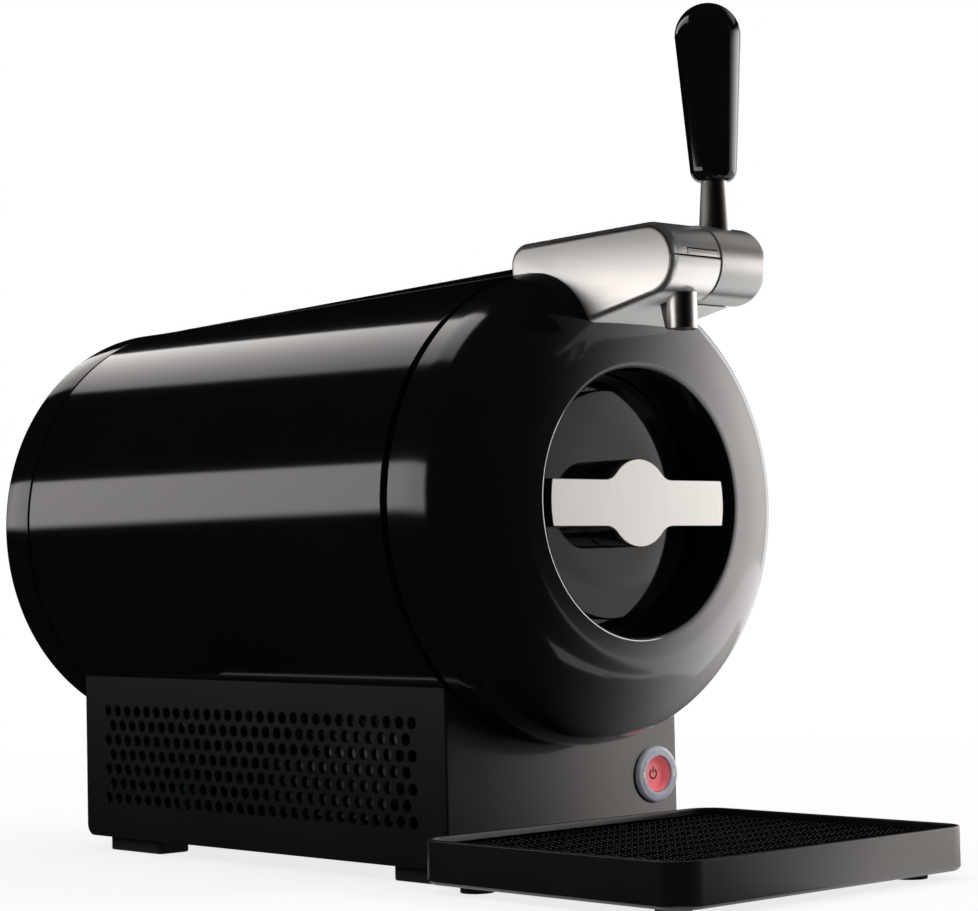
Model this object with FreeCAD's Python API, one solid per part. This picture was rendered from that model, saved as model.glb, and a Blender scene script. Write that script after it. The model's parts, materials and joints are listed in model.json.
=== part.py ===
"""Mini keg beer dispenser: a chilled drum on a vented base, with a lever tap and a drip tray.

Millimetres. +Z is up, the front faces -Y, and the origin is on the table, in the middle of
the overall footprint. The drum's axis runs along Y.
"""
import FreeCAD, Part
import math
import os

V = FreeCAD.Vector
X_AXIS = V(1, 0, 0)
Y_AXIS = V(0, 1, 0)
Z_AXIS = V(0, 0, 1)

# ---- driving dimensions -------------------------------------------------------------
fit = 0.2                     # gap between neighbouring curved pieces of one body
running = 0.05                # radial clearance of a shaft in its bore

# drum
axis_z = 177.0
drum_radius = 115.0
rear_radius = 112.5
rear_axis_z = 175.5
shell_wall = 2.5
shell_front = -77.6
shell_rear = 221.8
drum_end = 244.5
cap_round = 2.0
cap_steps = 2                 # flats that the cap's round is turned in
spine_half_width = 20.0
spine_front = -71.0
spine_rear = 206.0
spine_rise = 3.2

# nose and the mouth that the keg goes in through
groove_width = 4.5
groove_radius = 108.0
nose_round = 42.0
nose_front = -134.0
nose_wall = 3.0
mouth_radius = 63.9
lip_round = 3.0
nose_steps = 7                # flats that the nose's round is turned in
lip_steps = 3
nose_back = shell_front - groove_width

# chamber
chamber_radius = 63.4
chamber_wall = 2.0
chamber_front = shell_front + 8.0
chamber_rear = 195.0
foam_radius = 107.5
hidden_sides = 24             # sides of the round pieces that nothing shows

# base
base_half_width = 77.9
base_rear = 218.9
base_bottom = 7.5
base_wall = 3.0
base_corner = 6.0
foot_height = base_bottom
foot_width = 20.0
vent_first_y = -53.7
vent_last_y = 198.1
vent_top_z = 75.5
vent_row_pitch = 7.85
vent_rows = 7
vent_columns = 29
vent_hole_radius = 2.9
vent_hole_sides = 4

# power button
button_x = 62.0
button_z = 43.4
ring_radius = 14.0
ring_proud = 3.0
button_radius = 9.6
button_travel = 2.0

# tap
barrel_y = -168.0
barrel_z = 286.4
barrel_radius = 17.5
end_radius = 18.0
end_inner_x = 1.5
end_outer_x = 31.3
arm_half_width = 30.5
arm_skin = 2.0
arm_top_rear_z = 302.8
arm_rear = -77.4
arm_underside_slope = 0.2
lid_edge_z = 287.5
hinge_y = -96.0
hinge_radius = 4.2
hinge_pin_radius = 1.4
hinge_half_width = 20.0
tube_x = -13.5
spout_y = -174.2
spout_radius = 7.0
spout_bore = 3.6
spout_mouth = 5.6             # radius of the wider bore at the spout's tip
spout_tip_z = 254.8
shaft_radius = 4.0

# lever
lever_x = 17.2
stem_base_radius = 7.75
stem_seat_z = barrel_z + end_radius - 3.0
stem_top_radius = 6.15
grip_bottom = 326.0
grip_top = 411.0
grip_radius = 15.5
grip_foot_radius = 11.0
grip_lean = 1.7               # the grip leans back by this much at its widest
turned_sides = 32             # sides of the small turned pieces of the lever

# door and its handle
disc_radius = 59.3
disc_front = -106.0
door_radius = 63.4
door_rear = -66.0
handle_front = -131.5
handle_half_length = 58.4
handle_half_height = 11.2
handle_hub_radius = 21.0
handle_fillet = 9.0
handle_plate = 1.6
handle_shaft_radius = 5.0

# drip tray
tray_half_width = 98.5
tray_front = -244.5
tray_rear = -78.0
tray_bottom = 4.0
tray_top = 24.4
tray_corner = 14.0
tray_wall = 3.0
tray_ledge = 2.0
grate_top = 21.5
grate_thickness = 2.0
grate_columns = 5
grate_rows = 10

os.makedirs("parts", exist_ok=True)


# ---- helpers ------------------------------------------------------------------------
def save(name, shape):
    """Write one sub-part."""
    shape.exportStep("parts/" + name + ".step")


def box(x0, x1, y0, y1, z0, z1):
    """Axis-aligned box between two corners."""
    return Part.makeBox(x1 - x0, y1 - y0, z1 - z0, V(x0, y0, z0))


def rod(radius, start, direction, length):
    """Solid cylinder from a start point."""
    return Part.makeCylinder(radius, length, V(*start), direction)


def y_rod(radius, y0, y1, z=axis_z, x=0.0):
    """Cylinder along Y, on the drum's axis unless placed elsewhere."""
    return rod(radius, (x, y0, z), Y_AXIS, y1 - y0)


def x_rod(radius, x0, x1, y, z):
    """Cylinder along X."""
    return rod(radius, (x0, y, z), X_AXIS, x1 - x0)


def outline(points, place):
    """Closed wire. A plain point is a corner; ("arc", middle, end) is an arc to its end."""
    edges = []
    start = points[0]
    current = start
    for item in points[1:] + [start]:
        if item[0] == "arc":
            edges.append(Part.Arc(place(current), place(item[1]), place(item[2])).toShape())
            current = item[2]
        elif item != current:
            edges.append(Part.LineSegment(place(current), place(item)).toShape())
            current = item
    return Part.Wire(edges)


def on_arc(centre, radius, degrees):
    """Point on a circle of the profile plane, by angle from its first axis."""
    angle = math.radians(degrees)
    return (centre[0] + radius * math.cos(angle), centre[1] + radius * math.sin(angle))


def steps_on_arc(centre, radius, start, end, steps):
    """Points from just after the start of an arc to its end, for a round turned in flats."""
    turn = (end - start) / steps
    return [on_arc(centre, radius, start + turn * (k + 1)) for k in range(steps)]


def revolve(points, z=axis_z):
    """Solid of revolution about a Y axis; points are (y, radius)."""
    wire = outline(points, lambda q: V(0, q[0], z + q[1]))
    return Part.Face(wire).revolve(V(0, 0, z), Y_AXIS, 360)


def revolve_on_barrel(points):
    """Solid of revolution about the tap barrel's axis; points are (x, radius)."""
    wire = outline(points, lambda q: V(q[0], barrel_y, barrel_z + q[1]))
    return Part.Face(wire).revolve(V(0, barrel_y, barrel_z), X_AXIS, 360)


def prism(radius, y0, y1, end_radius=None, sides=hidden_sides, x=0.0, z=axis_z):
    """Many-sided rod or taper along Y, for round pieces that nothing shows."""
    wires = []
    for y, corner in ((y0, radius), (y1, end_radius or radius)):
        points = [on_arc((x, z), corner, 360 * k / sides) for k in range(sides + 1)]
        wires.append(Part.makePolygon([V(q[0], y, q[1]) for q in points]))
    return Part.makeLoft(wires, True, True)


def upright_prism(radius, x, y, z0, z1, sides):
    """Many-sided post along Z."""
    points = [on_arc((x, y), radius, 360 * (k + 0.5) / sides) for k in range(sides + 1)]
    face = Part.Face(Part.makePolygon([V(q[0], q[1], z0) for q in points]))
    return face.extrude(V(0, 0, z1 - z0))


def upright_loft(sections, sides=turned_sides):
    """Many-sided turned shape on the lever's axis; sections are (z, radius, shift along Y)."""
    rings = []
    for z, corner, shift in sections:
        points = [on_arc((lever_x, barrel_y + shift), corner, 360 * k / sides)
                  for k in range(sides)]
        rings.append([V(q[0], q[1], z) for q in points + points[:1]])
    faces = [Part.Face(Part.makePolygon(rings[0])), Part.Face(Part.makePolygon(rings[-1]))]
    for low, high in zip(rings, rings[1:]):
        for k in range(sides):
            corners = [low[k], low[k + 1], high[k + 1], high[k], low[k]]
            faces.append(Part.Face(Part.makePolygon(corners)))
    shell = Part.makeShell(faces)
    shell.sewShape()
    return Part.makeSolid(shell)


def side_face(points, x):
    """Flat face in a YZ plane; points are (y, z)."""
    return Part.Face(outline(points, lambda q: V(x, q[0], q[1])))


def rounded_block(x0, x1, y0, y1, z0, z1, radius):
    """Box with its four upright edges rounded."""
    block = box(x0, x1, y0, y1, z0, z1)
    upright = [edge for edge in block.Edges if is_along(edge, Z_AXIS)]
    return block.makeFillet(radius, upright)


def is_along(edge, axis):
    """True for a straight edge parallel to the axis."""
    if len(edge.Vertexes) != 2:
        return False
    step = edge.Vertexes[1].Point - edge.Vertexes[0].Point
    if step.Length < 1e-6:
        return False
    return abs(abs(step.normalize().dot(axis)) - 1) < 1e-6


# ---- drum ---------------------------------------------------------------------------
def drum_solid(grow, y0, y1):
    """The drum's outside, grown by a clearance: its radius and axis fall off to the rear."""
    length = shell_rear - shell_front
    slope = (rear_axis_z - axis_z) / length
    taper = (rear_radius - drum_radius) / length
    over = 2.0
    start = y0 - over
    end = y1 + over
    cone = Part.makeCone(
        drum_radius + taper * (start - shell_front) + grow,
        drum_radius + taper * (end - shell_front) + grow,
        (end - start) * math.sqrt(1 + slope ** 2),
        V(0, start, axis_z + slope * (start - shell_front)),
        V(0, 1, slope))
    return cone.common(box(-130, 130, y0, y1, axis_z - 130, axis_z + 130))


def make_shell():
    """Tapered sleeve, with a window underneath for the cold block."""
    sleeve = drum_solid(0, shell_front, shell_rear)
    sleeve = sleeve.cut(drum_solid(-shell_wall, shell_front - 1, shell_rear + 1))
    window = box(-27, 27, 33, 87, 40, axis_z - 80)
    return sleeve.cut(window)


def make_rear_cap():
    """Closed end of the drum with a rounded rim."""
    rim = (drum_end - cap_round, rear_radius - cap_round)
    profile = [(shell_rear, 0), (shell_rear, rear_radius), (rim[0], rear_radius)]
    profile += steps_on_arc(rim, cap_round, 90, 0, cap_steps)
    profile += [(drum_end, 0)]
    return revolve(profile, rear_axis_z)


def make_spine():
    """Crowned strip on top of the shell, 3 mm proud in front and flush at the rear."""
    share = (spine_rear - shell_front) / (shell_rear - shell_front)
    rear_z = axis_z + (rear_axis_z - axis_z) * share
    rear_top = rear_z + drum_radius + (rear_radius - drum_radius) * share + 0.4
    front_top = axis_z + drum_radius + spine_rise
    drop = front_top - rear_top
    length = spine_rear - spine_front
    over = 5.0
    crown = Part.makeCylinder(drum_radius + spine_rise, length + 2 * over,
                              V(0, spine_front - over, axis_z + over * drop / length),
                              V(0, length, -drop))
    strip = box(-spine_half_width, spine_half_width, spine_front, spine_rear, axis_z, 320)
    return crown.common(strip).cut(drum_solid(0.03, shell_front - 2, shell_rear))


# ---- nose ---------------------------------------------------------------------------
def nose_outer(grow=0.0):
    """Profile points of the nose from its back edge round to the front flat."""
    centre = (nose_front + nose_round, drum_radius - nose_round)
    points = [(nose_back, drum_radius + grow), (centre[0], drum_radius + grow)]
    return points + steps_on_arc(centre, nose_round + grow, 90, 180, nose_steps)


def nose_solid(grow):
    """The nose's outside as one solid, for cutting what sits on it."""
    profile = [(nose_back + 6, 0), (nose_back + 6, drum_radius + grow)]
    profile += nose_outer(grow)[1:]
    profile += [(nose_front - grow, 0)]
    return revolve(profile)


def tube_duct(grow, y0=-120.0, y1=-108.0):
    """Upright passage for the keg's tube, from the mouth up into the tap."""
    half = 6.0 + grow
    return box(tube_x - half, tube_x + half, y0 - grow, y1 + grow, axis_z + 60, 296)


def make_nose():
    """Round ring with a rolled lip, the straight wall of the mouth, and a pocket behind."""
    lip = (nose_front + lip_round, mouth_radius + lip_round)
    profile = nose_outer()
    profile += [(nose_front, lip[1])]
    profile += steps_on_arc(lip, lip_round, 180, 270, lip_steps)
    profile += [(nose_back, mouth_radius)]
    ring = revolve(profile)
    bend = nose_back - 18
    pocket_front = nose_front + 12
    pocket = prism(drum_radius - nose_wall, nose_back, bend, drum_radius - nose_wall - 1.5)
    pocket = prism(drum_radius - nose_wall - 1.5, bend, pocket_front, 96).fuse(pocket)
    pocket = pocket.cut(prism(mouth_radius + 4.0, pocket_front, nose_back))
    return ring.cut(pocket).cut(tube_duct(0.0))


def make_tube_guide():
    """Rectangular duct across the nose's pocket, from the mouth's wall to the skin."""
    duct = tube_duct(-0.2).cut(tube_duct(-1.4))
    top = box(-30, 30, -130, -100, axis_z + 60, axis_z + 98)
    return duct.common(top).cut(y_rod(mouth_radius + 0.1, nose_front - 1, nose_back))


def make_bulkhead():
    """Ring frame in the seam: it joins nose, shell and chamber, and shows as the groove."""
    spigot = drum_radius - shell_wall - fit - 0.1
    profile = [
        (nose_back, mouth_radius),
        (nose_back, groove_radius),
        (shell_front, groove_radius),
        (shell_front, spigot),
        (chamber_front, spigot),
        (chamber_front, mouth_radius),
    ]
    return revolve(profile)


def make_chamber():
    """Tube that the keg lies in."""
    tube = y_rod(chamber_radius + chamber_wall, chamber_front, chamber_rear)
    return tube.cut(y_rod(chamber_radius, chamber_front - 1, chamber_rear + 1))


def make_chamber_end():
    """Plate that closes the chamber's rear."""
    return y_rod(chamber_radius + chamber_wall, chamber_rear, chamber_rear + chamber_wall)


def make_foam():
    """Insulation between chamber and shell, open below for the cold block."""
    rear = chamber_rear + chamber_wall
    inner = (chamber_radius + chamber_wall + fit) / math.cos(math.pi / hidden_sides)
    foam = prism(foam_radius, chamber_front + fit, rear + 12)
    foam = foam.cut(prism(inner, chamber_front - 1, rear + fit))
    return foam.cut(box(-26.5, 26.5, 33.5, 86.5, 40, axis_z))


def make_keg_bumper():
    """Rubber ring that the keg's foot seats on."""
    ring = prism(40, chamber_rear - 6, chamber_rear, sides=12)
    return ring.cut(prism(30, chamber_rear - 7, chamber_rear + 1, sides=12))


# ---- door ---------------------------------------------------------------------------
def tube_notch(depth_radius):
    """Notch in the top of the door that lets the tube out."""
    half = 5.0
    z0 = axis_z + depth_radius
    return box(tube_x - half, tube_x + half, disc_front - 1, door_rear + 1, z0, axis_z + 70)


def make_door_disc():
    """Gloss front disc with an eased edge and a notch for the tube."""
    bore = handle_shaft_radius + running
    profile = [
        (disc_front, bore),
        (disc_front, disc_radius - 0.9),
        (disc_front + 0.9, disc_radius),
        (disc_front + 2.8, disc_radius),
        (disc_front + 2.8, bore),
    ]
    return revolve(profile).cut(tube_notch(55.0))


def latch_window():
    """Windows at the door's sides that the latch lugs face."""
    return box(-70, 70, disc_front + 7, disc_front + 15, axis_z - 10, axis_z + 10)


def make_door_body():
    """Insulated plug: a cup whose rear is stepped in for the seal."""
    front = disc_front + 2.8
    shoulder = disc_front + 20
    slim = door_radius - 1.5
    bore = handle_shaft_radius + running
    profile = [
        (front, bore),
        (front, door_radius),
        (shoulder, door_radius),
        (shoulder, slim),
        (door_rear, slim),
        (door_rear, bore),
    ]
    plug = revolve(profile)
    inner = slim - 2.0
    plug = plug.cut(prism(inner, front + 2.4, door_rear + 1))
    windows = latch_window().cut(y_rod(inner - 3, disc_front, door_rear))
    return plug.cut(windows).cut(tube_notch(53.0))


def make_door_seal():
    """Rubber ring on the plug's shoulder, split where the tube passes."""
    start = disc_front + 20
    ring = prism(door_radius + 0.2, start, start + 3, sides=48)
    ring = ring.cut(y_rod(door_radius - 1.5, start - 1, start + 4))
    return ring.cut(tube_notch(50.0))


def make_door_insulation():
    """Foam behind the latch, with a passage for the shaft."""
    foam = prism(door_radius - 3.6, disc_front + 16, door_rear - 2.3)
    foam = foam.cut(prism(9, disc_front, door_rear, sides=12))
    return foam.cut(tube_notch(50.0))


def make_door_back():
    """Rear plate with the bearing that carries the handle's shaft."""
    plate = prism(door_radius - 3.6, door_rear - 2.2, door_rear)
    boss = prism(8.5, door_rear - 8, door_rear - 2, sides=12)
    socket = y_rod(handle_shaft_radius + running, door_rear - 9, door_rear - 1.5)
    return plate.fuse(boss).cut(socket).cut(tube_notch(50.0))


def handle_outline(inset, y):
    """Bar with slightly bowed ends and a round hub blended in by concave fillets."""
    half_l = handle_half_length - inset
    half_h = handle_half_height - inset
    hub = handle_hub_radius - inset
    fillet = handle_fillet + inset
    rise = half_h + fillet
    run = math.sqrt((hub + fillet) ** 2 - rise ** 2)
    touch = (run * hub / (hub + fillet), rise * hub / (hub + fillet))
    turn = math.atan2(rise, run)
    middle_angle = 0.5 * (-math.pi / 2 + turn - math.pi)
    middle = (run + fillet * math.cos(middle_angle), rise + fillet * math.sin(middle_angle))
    bow = 1.1
    points = [
        (half_l - bow, -half_h),
        ("arc", (half_l, 0), (half_l - bow, half_h)),
        (run, half_h),
        ("arc", middle, touch),
        ("arc", (0, hub), (-touch[0], touch[1])),
        ("arc", (-middle[0], middle[1]), (-run, half_h)),
        (bow - half_l, half_h),
        ("arc", (-half_l, 0), (bow - half_l, -half_h)),
        (-run, -half_h),
        ("arc", (-middle[0], -middle[1]), (-touch[0], -touch[1])),
        ("arc", (0, -hub), (touch[0], -touch[1])),
        ("arc", (middle[0], -middle[1]), (run, -half_h)),
    ]
    return outline(points, lambda q: V(q[0], y, axis_z + q[1]))


def make_handle_body():
    """Deep black bar of the handle, with a bore for its shaft."""
    face_y = handle_front + handle_plate
    rear_y = disc_front - 0.3
    body = Part.Face(handle_outline(0, face_y)).extrude(V(0, rear_y - face_y, 0))
    return body.cut(y_rod(handle_shaft_radius + 0.02, rear_y - 10, rear_y + 1))


def make_handle_face():
    """Brushed plate on the handle's front."""
    face = Part.Face(handle_outline(0.25, handle_front))
    return face.extrude(V(0, handle_plate, 0))


def make_handle_shaft():
    """Shaft from the handle through the disc to the rear bearing."""
    return y_rod(handle_shaft_radius, disc_front - 10, door_rear - 1.8)


def make_latch():
    """Hub and two lugs that lock the door when the handle lies level."""
    y0 = disc_front + 8
    hub = prism(20, y0, y0 + 5)
    bar = box(-62, 62, y0, y0 + 5, axis_z - 8, axis_z + 8)
    lugs = bar.common(y_rod(door_radius - 4.4, y0, y0 + 5))
    bore = y_rod(handle_shaft_radius + 0.02, y0 - 1, y0 + 6)
    return hub.fuse(lugs).cut(bore).removeSplitter()


# ---- tap ----------------------------------------------------------------------------
def arm_profile(inset):
    """Side view of the tap: barrel circle, level top, round rear, sloping underside."""
    radius = barrel_radius - inset
    tilt = math.atan(arm_underside_slope)
    top_tilt = math.degrees(math.atan2(barrel_z + barrel_radius - arm_top_rear_z, 78))
    centre = (barrel_y, barrel_z)
    bottom_angle = 270 - math.degrees(tilt)
    top = on_arc(centre, radius, 90 - top_tilt)
    bottom = on_arc(centre, radius, bottom_angle)
    end_y = arm_rear - inset
    rear_round = 10.0 - inset
    low_z = 240.0
    low_y = nose_front + 14
    under_z = bottom[1] - arm_underside_slope * (low_y - bottom[0])
    rear_centre = (end_y - rear_round, arm_top_rear_z - inset - rear_round)
    return [
        top,
        on_arc(rear_centre, rear_round, 90),
        ("arc", on_arc(rear_centre, rear_round, 45), on_arc(rear_centre, rear_round, 0)),
        (end_y, low_z),
        (low_y, low_z),
        (low_y, under_z),
        bottom,
        ("arc", (barrel_y - radius, barrel_z), top),
    ]


def arm_solid(inset, x0, x1):
    """The tap's side view drawn out across part of its width."""
    return side_face(arm_profile(inset), x0).extrude(V(x1 - x0, 0, 0))


def seat_cutter():
    """Everything that the tap rests on: nose, groove and the shell's front."""
    nose = nose_solid(0.1)
    drum = drum_solid(0.1, nose_back, shell_rear)
    return nose.fuse(drum)


def end_cutter():
    """Room for the turning barrel end."""
    return x_rod(end_radius + 0.6, end_inner_x - 0.4, arm_half_width + 5, barrel_y, barrel_z)


def make_tap_arm(seat):
    """Lower half of the tap: rim, inner block, cam cavity, tube trough and hinge ears."""
    block = arm_solid(arm_skin + 0.3, -arm_half_width + 2.1, arm_half_width - 2.1)
    full = arm_solid(0, -arm_half_width, arm_half_width)
    core = arm_solid(arm_skin + 0.3, -arm_half_width - 1, arm_half_width + 1)
    rim = full.cut(core)
    above = box(-40, 40, -200, -102.4, lid_edge_z - 0.3, 320)
    arm = block.fuse(rim.cut(above))
    arm = arm.cut(seat).cut(end_cutter())
    arm = arm.cut(x_rod(14.0, -24, -2.9, barrel_y, barrel_z))
    arm = arm.cut(box(-24, -2.9, barrel_y - 14, barrel_y + 14, barrel_z + 3, 320))
    arm = arm.cut(box(tube_x - 5.5, tube_x + 5.5, barrel_y, -108, 291, 320))
    arm = arm.cut(box(tube_x - 5.5, tube_x + 5.5, -119.5, -108.5, 230, 320))
    arm = arm.cut(x_rod(hinge_radius + 1.8, -hinge_half_width - 0.4, hinge_half_width + 0.4,
                        hinge_y, arm_top_rear_z - hinge_radius))
    tongue = box(-hinge_half_width - 0.4, hinge_half_width + 0.4, -108, hinge_y + 0.5,
                 arm_top_rear_z - arm_skin - 0.4, 320)
    arm = arm.cut(tongue)
    arm = arm.cut(x_rod(hinge_pin_radius + 0.02, -26.2, 26.2, hinge_y,
                        arm_top_rear_z - hinge_radius))
    arm = arm.cut(x_rod(shaft_radius + running, -26.5, -20, barrel_y, barrel_z))
    arm = arm.cut(x_rod(6.5, -3.5, 3, barrel_y, barrel_z))
    return arm.cut(rod(spout_bore, (tube_x, spout_y, 255), Z_AXIS, 30))


def make_cheek(seat, side):
    """Brushed side plate, set flush in the rim; the right one clears the barrel end."""
    outer = side * arm_half_width
    inner = side * (arm_half_width - 2.0)
    plate = arm_solid(arm_skin + 0.35, min(outer, inner), max(outer, inner))
    plate = plate.cut(seat)
    if side > 0:
        plate = plate.cut(end_cutter())
    return plate


def make_lid():
    """Upper skin of the tap, rolled round the barrel, with a finger notch and a knuckle."""
    knuckle_z = arm_top_rear_z - hinge_radius
    full = arm_solid(0, -arm_half_width, arm_half_width)
    core = arm_solid(arm_skin, -arm_half_width - 1, arm_half_width + 1)
    skin = full.cut(core)
    skin = skin.common(box(-40, 40, -200, -104, lid_edge_z, 320))
    skin = skin.cut(end_cutter())
    right_front = box(end_inner_x - 0.5, 40, -200, barrel_y + 9.5, 250, 320)
    skin = skin.cut(right_front)
    tongue = full.cut(core)
    tongue = tongue.common(box(-hinge_half_width, hinge_half_width, -104.5, hinge_y, 295, 320))
    knuckle = x_rod(hinge_radius, -hinge_half_width, hinge_half_width, hinge_y, knuckle_z)
    lid = skin.fuse(tongue).fuse(knuckle)
    lid = lid.cut(x_rod(hinge_pin_radius + running, -40, 40, hinge_y, knuckle_z))
    notch = box(tube_x - 10.9, tube_x + 10.9, -200, -175, lid_edge_z - 1, lid_edge_z + 3.6)
    notch = notch.cut(x_rod(barrel_radius - 1.0, -40, 10, barrel_y, barrel_z))
    return lid.cut(notch).removeSplitter()


def make_pinch_pad():
    """Rubber pad glued under the lid, which the cam squeezes the tube against."""
    pad = box(tube_x - 5, tube_x + 5, barrel_y - 4, barrel_y + 6, barrel_z + 11.5, barrel_z + 20)
    return pad.common(arm_solid(arm_skin, -arm_half_width, arm_half_width))


def make_spout():
    """Round spout, wider at its mouth, with a thin web behind it, seated under the barrel."""
    pipe = rod(spout_radius, (tube_x, spout_y, spout_tip_z), Z_AXIS, 28)
    web_face = side_face([
        (spout_y, spout_tip_z + 0.6),
        (spout_y + 9.9, spout_tip_z + 1.2),
        (spout_y + 13.2, 269.0),
        (spout_y + 13.2, 275.0),
        (spout_y, 275.0),
    ], tube_x - 1.5)
    web = web_face.extrude(V(3.0, 0, 0))
    bore = rod(spout_bore, (tube_x, spout_y, spout_tip_z - 5), Z_AXIS, 40)
    mouth = rod(spout_mouth, (tube_x, spout_y, spout_tip_z - 1), Z_AXIS, 7)
    body = arm_solid(-0.02, -arm_half_width, arm_half_width)
    return pipe.fuse(web).cut(bore).cut(mouth).cut(body)


# ---- lever --------------------------------------------------------------------------
def make_barrel_end():
    """Turning end of the barrel with a softly rounded outer edge and a seat for the stem."""
    edge = (end_outer_x - 4.5, end_radius - 4.5)
    bore = shaft_radius + 0.02
    depth = end_inner_x + 11.5
    profile = [(end_inner_x, bore), (end_inner_x, end_radius), (edge[0], end_radius)]
    profile += steps_on_arc(edge, 4.5, 90, 0, 3)
    profile += [(end_outer_x, 0), (depth, 0), (depth, bore)]
    end = revolve_on_barrel(profile)
    taper = (stem_base_radius - stem_top_radius) / (grip_bottom - stem_seat_z)
    socket = [(stem_seat_z, stem_base_radius + 0.02, 0),
              (stem_seat_z + 5, stem_base_radius + 0.02 - 5 * taper, 0)]
    return end.cut(upright_loft(socket))


def make_tap_shaft():
    """Shaft between the barrel end and the cam."""
    return x_rod(shaft_radius, -26.2, end_inner_x + 11.5, barrel_y, barrel_z)


def make_cam():
    """Eccentric cam that pinches the tube while the lever stands upright."""
    lobe = x_rod(7.5, tube_x - 5, tube_x + 5, barrel_y, barrel_z + 2.0)
    return lobe.cut(x_rod(shaft_radius + 0.02, tube_x - 6, tube_x + 6, barrel_y, barrel_z))


def make_bushing():
    """Plain bearing for the shaft in the arm's wall."""
    sleeve = x_rod(6.4, -2.8, end_inner_x - 0.5, barrel_y, barrel_z)
    return sleeve.cut(x_rod(shaft_radius + running, -10, 10, barrel_y, barrel_z))


def make_stem():
    """Tapered stem, let into the barrel end, with a spigot that carries the grip."""
    cone = upright_loft([(stem_seat_z, stem_base_radius, 0), (grip_bottom, stem_top_radius, 0)])
    return cone.fuse(upright_prism(4.0, lever_x, barrel_y, grip_bottom - 1, grip_bottom + 18, 8))


def make_grip():
    """Turned grip that leans back a little: round foot, straight taper, round dome."""
    foot = grip_bottom + 0.1
    widest = grip_top - grip_radius
    taper_foot = foot + 6.4
    rise = (grip_top - widest) / math.sin(math.radians(80))
    sections = [
        (foot, stem_top_radius + 0.2, 0),
        (foot + 1.9, grip_foot_radius - 1.5, 0),
        (taper_foot, grip_foot_radius, 0),
        (widest, grip_radius, grip_lean),
    ]
    for degrees in (25, 45, 65, 80):
        turn = math.radians(degrees)
        sections.append((widest + rise * math.sin(turn), grip_radius * math.cos(turn), grip_lean))
    grip = upright_loft(sections)
    return grip.cut(upright_prism(4.02, lever_x, barrel_y, grip_bottom - 1, grip_bottom + 18.5, 8))


# ---- base ---------------------------------------------------------------------------
def vent_pegs(x0, x1):
    """Seven staggered rows of pegs, to be cut out of a side wall."""
    pitch = (vent_last_y - vent_first_y) / (vent_columns - 1)
    pegs = []
    for row in range(vent_rows):
        odd = row % 2
        z = vent_top_z - row * vent_row_pitch
        for column in range(vent_columns - odd):
            y = vent_first_y + (column + 0.5 * odd) * pitch
            corners = []
            for k in range(vent_hole_sides + 1):
                corner = on_arc((y, z), vent_hole_radius * 1.12, 360 * k / vent_hole_sides)
                corners.append(V(x0, corner[0], corner[1]))
            hole = Part.Face(Part.makePolygon(corners))
            pegs.append(hole.extrude(V(x1 - x0, 0, 0)))
    return Part.makeCompound(pegs)


def make_side_panel(side):
    """Perforated side wall; its top follows the drum and its rear foot is rounded."""
    inner = side * (base_half_width - base_wall)
    outer = side * base_half_width
    front = shell_front + base_wall + 0.1
    bend = (base_rear - base_corner, base_bottom + base_corner)
    wire = outline([
        (front, base_bottom),
        (bend[0], base_bottom),
        ("arc", on_arc(bend, base_corner, -45), (base_rear, bend[1])),
        (base_rear, 110),
        (front, 110),
    ], lambda q: V(inner, q[0], q[1]))
    plate = Part.Face(wire).extrude(V(outer - inner, 0, 0))
    plate = plate.cut(drum_solid(0.1, front - 5, base_rear + 5))
    return plate.cut(vent_pegs(inner - side, outer + side))


def make_front_panel():
    """Front of the base with the button's hole and eased upright edges."""
    panel = box(-base_half_width, base_half_width, shell_front, shell_front + base_wall,
                base_bottom, 110)
    panel = panel.makeFillet(1.2, [edge for edge in panel.Edges
                                   if is_along(edge, Z_AXIS)
                                   and edge.BoundBox.YMax < shell_front + 0.1])
    panel = panel.cut(drum_solid(0.1, shell_front - 5, shell_front + 20))
    return panel.cut(y_rod(13.0, shell_front - 1, shell_front + 5, button_z, button_x))


def make_rear_panel():
    """Rear of the base with the cord's outlet."""
    half = base_half_width - base_wall - 0.1
    panel = box(-half, half, base_rear - base_wall, base_rear, base_bottom + base_corner, 110)
    panel = panel.cut(drum_solid(0.1, base_rear - 20, base_rear + 5))
    return panel.cut(y_rod(8.0, base_rear - 5, base_rear + 1, 34, 45))


def make_bottom_plate():
    """Floor of the base with intake slots under the fan and screw holes."""
    half = base_half_width - base_wall - 0.1
    plate = box(-half, half, shell_front + base_wall + 0.1, base_rear - base_wall - 0.1,
                base_bottom, base_bottom + 3)
    for k in range(7):
        x = -30 + k * 10
        reach = math.sqrt(35 ** 2 - x ** 2)
        plate = plate.cut(box(x - 2, x + 2, 60 - reach, 60 + reach, 0, 20))
    for x, y in screw_places():
        plate = plate.cut(upright_prism(1.8, x, y, 0, 20, 6))
    return plate


def screw_places():
    """Where the floor is screwed to the cradle's bosses."""
    return [(x, y) for x in (-46.0, 46.0) for y in (-36.0, 124.0)]


def make_screws():
    """Hexagon screws through the floor."""
    screws = []
    for x, y in screw_places():
        head = upright_prism(3.6, x, y, base_bottom - 1.8, base_bottom, 6)
        shank = upright_prism(1.6, x, y, base_bottom - 0.1, base_bottom + 13, 6)
        screws.append(head.fuse(shank))
    return Part.makeCompound(screws)


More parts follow.
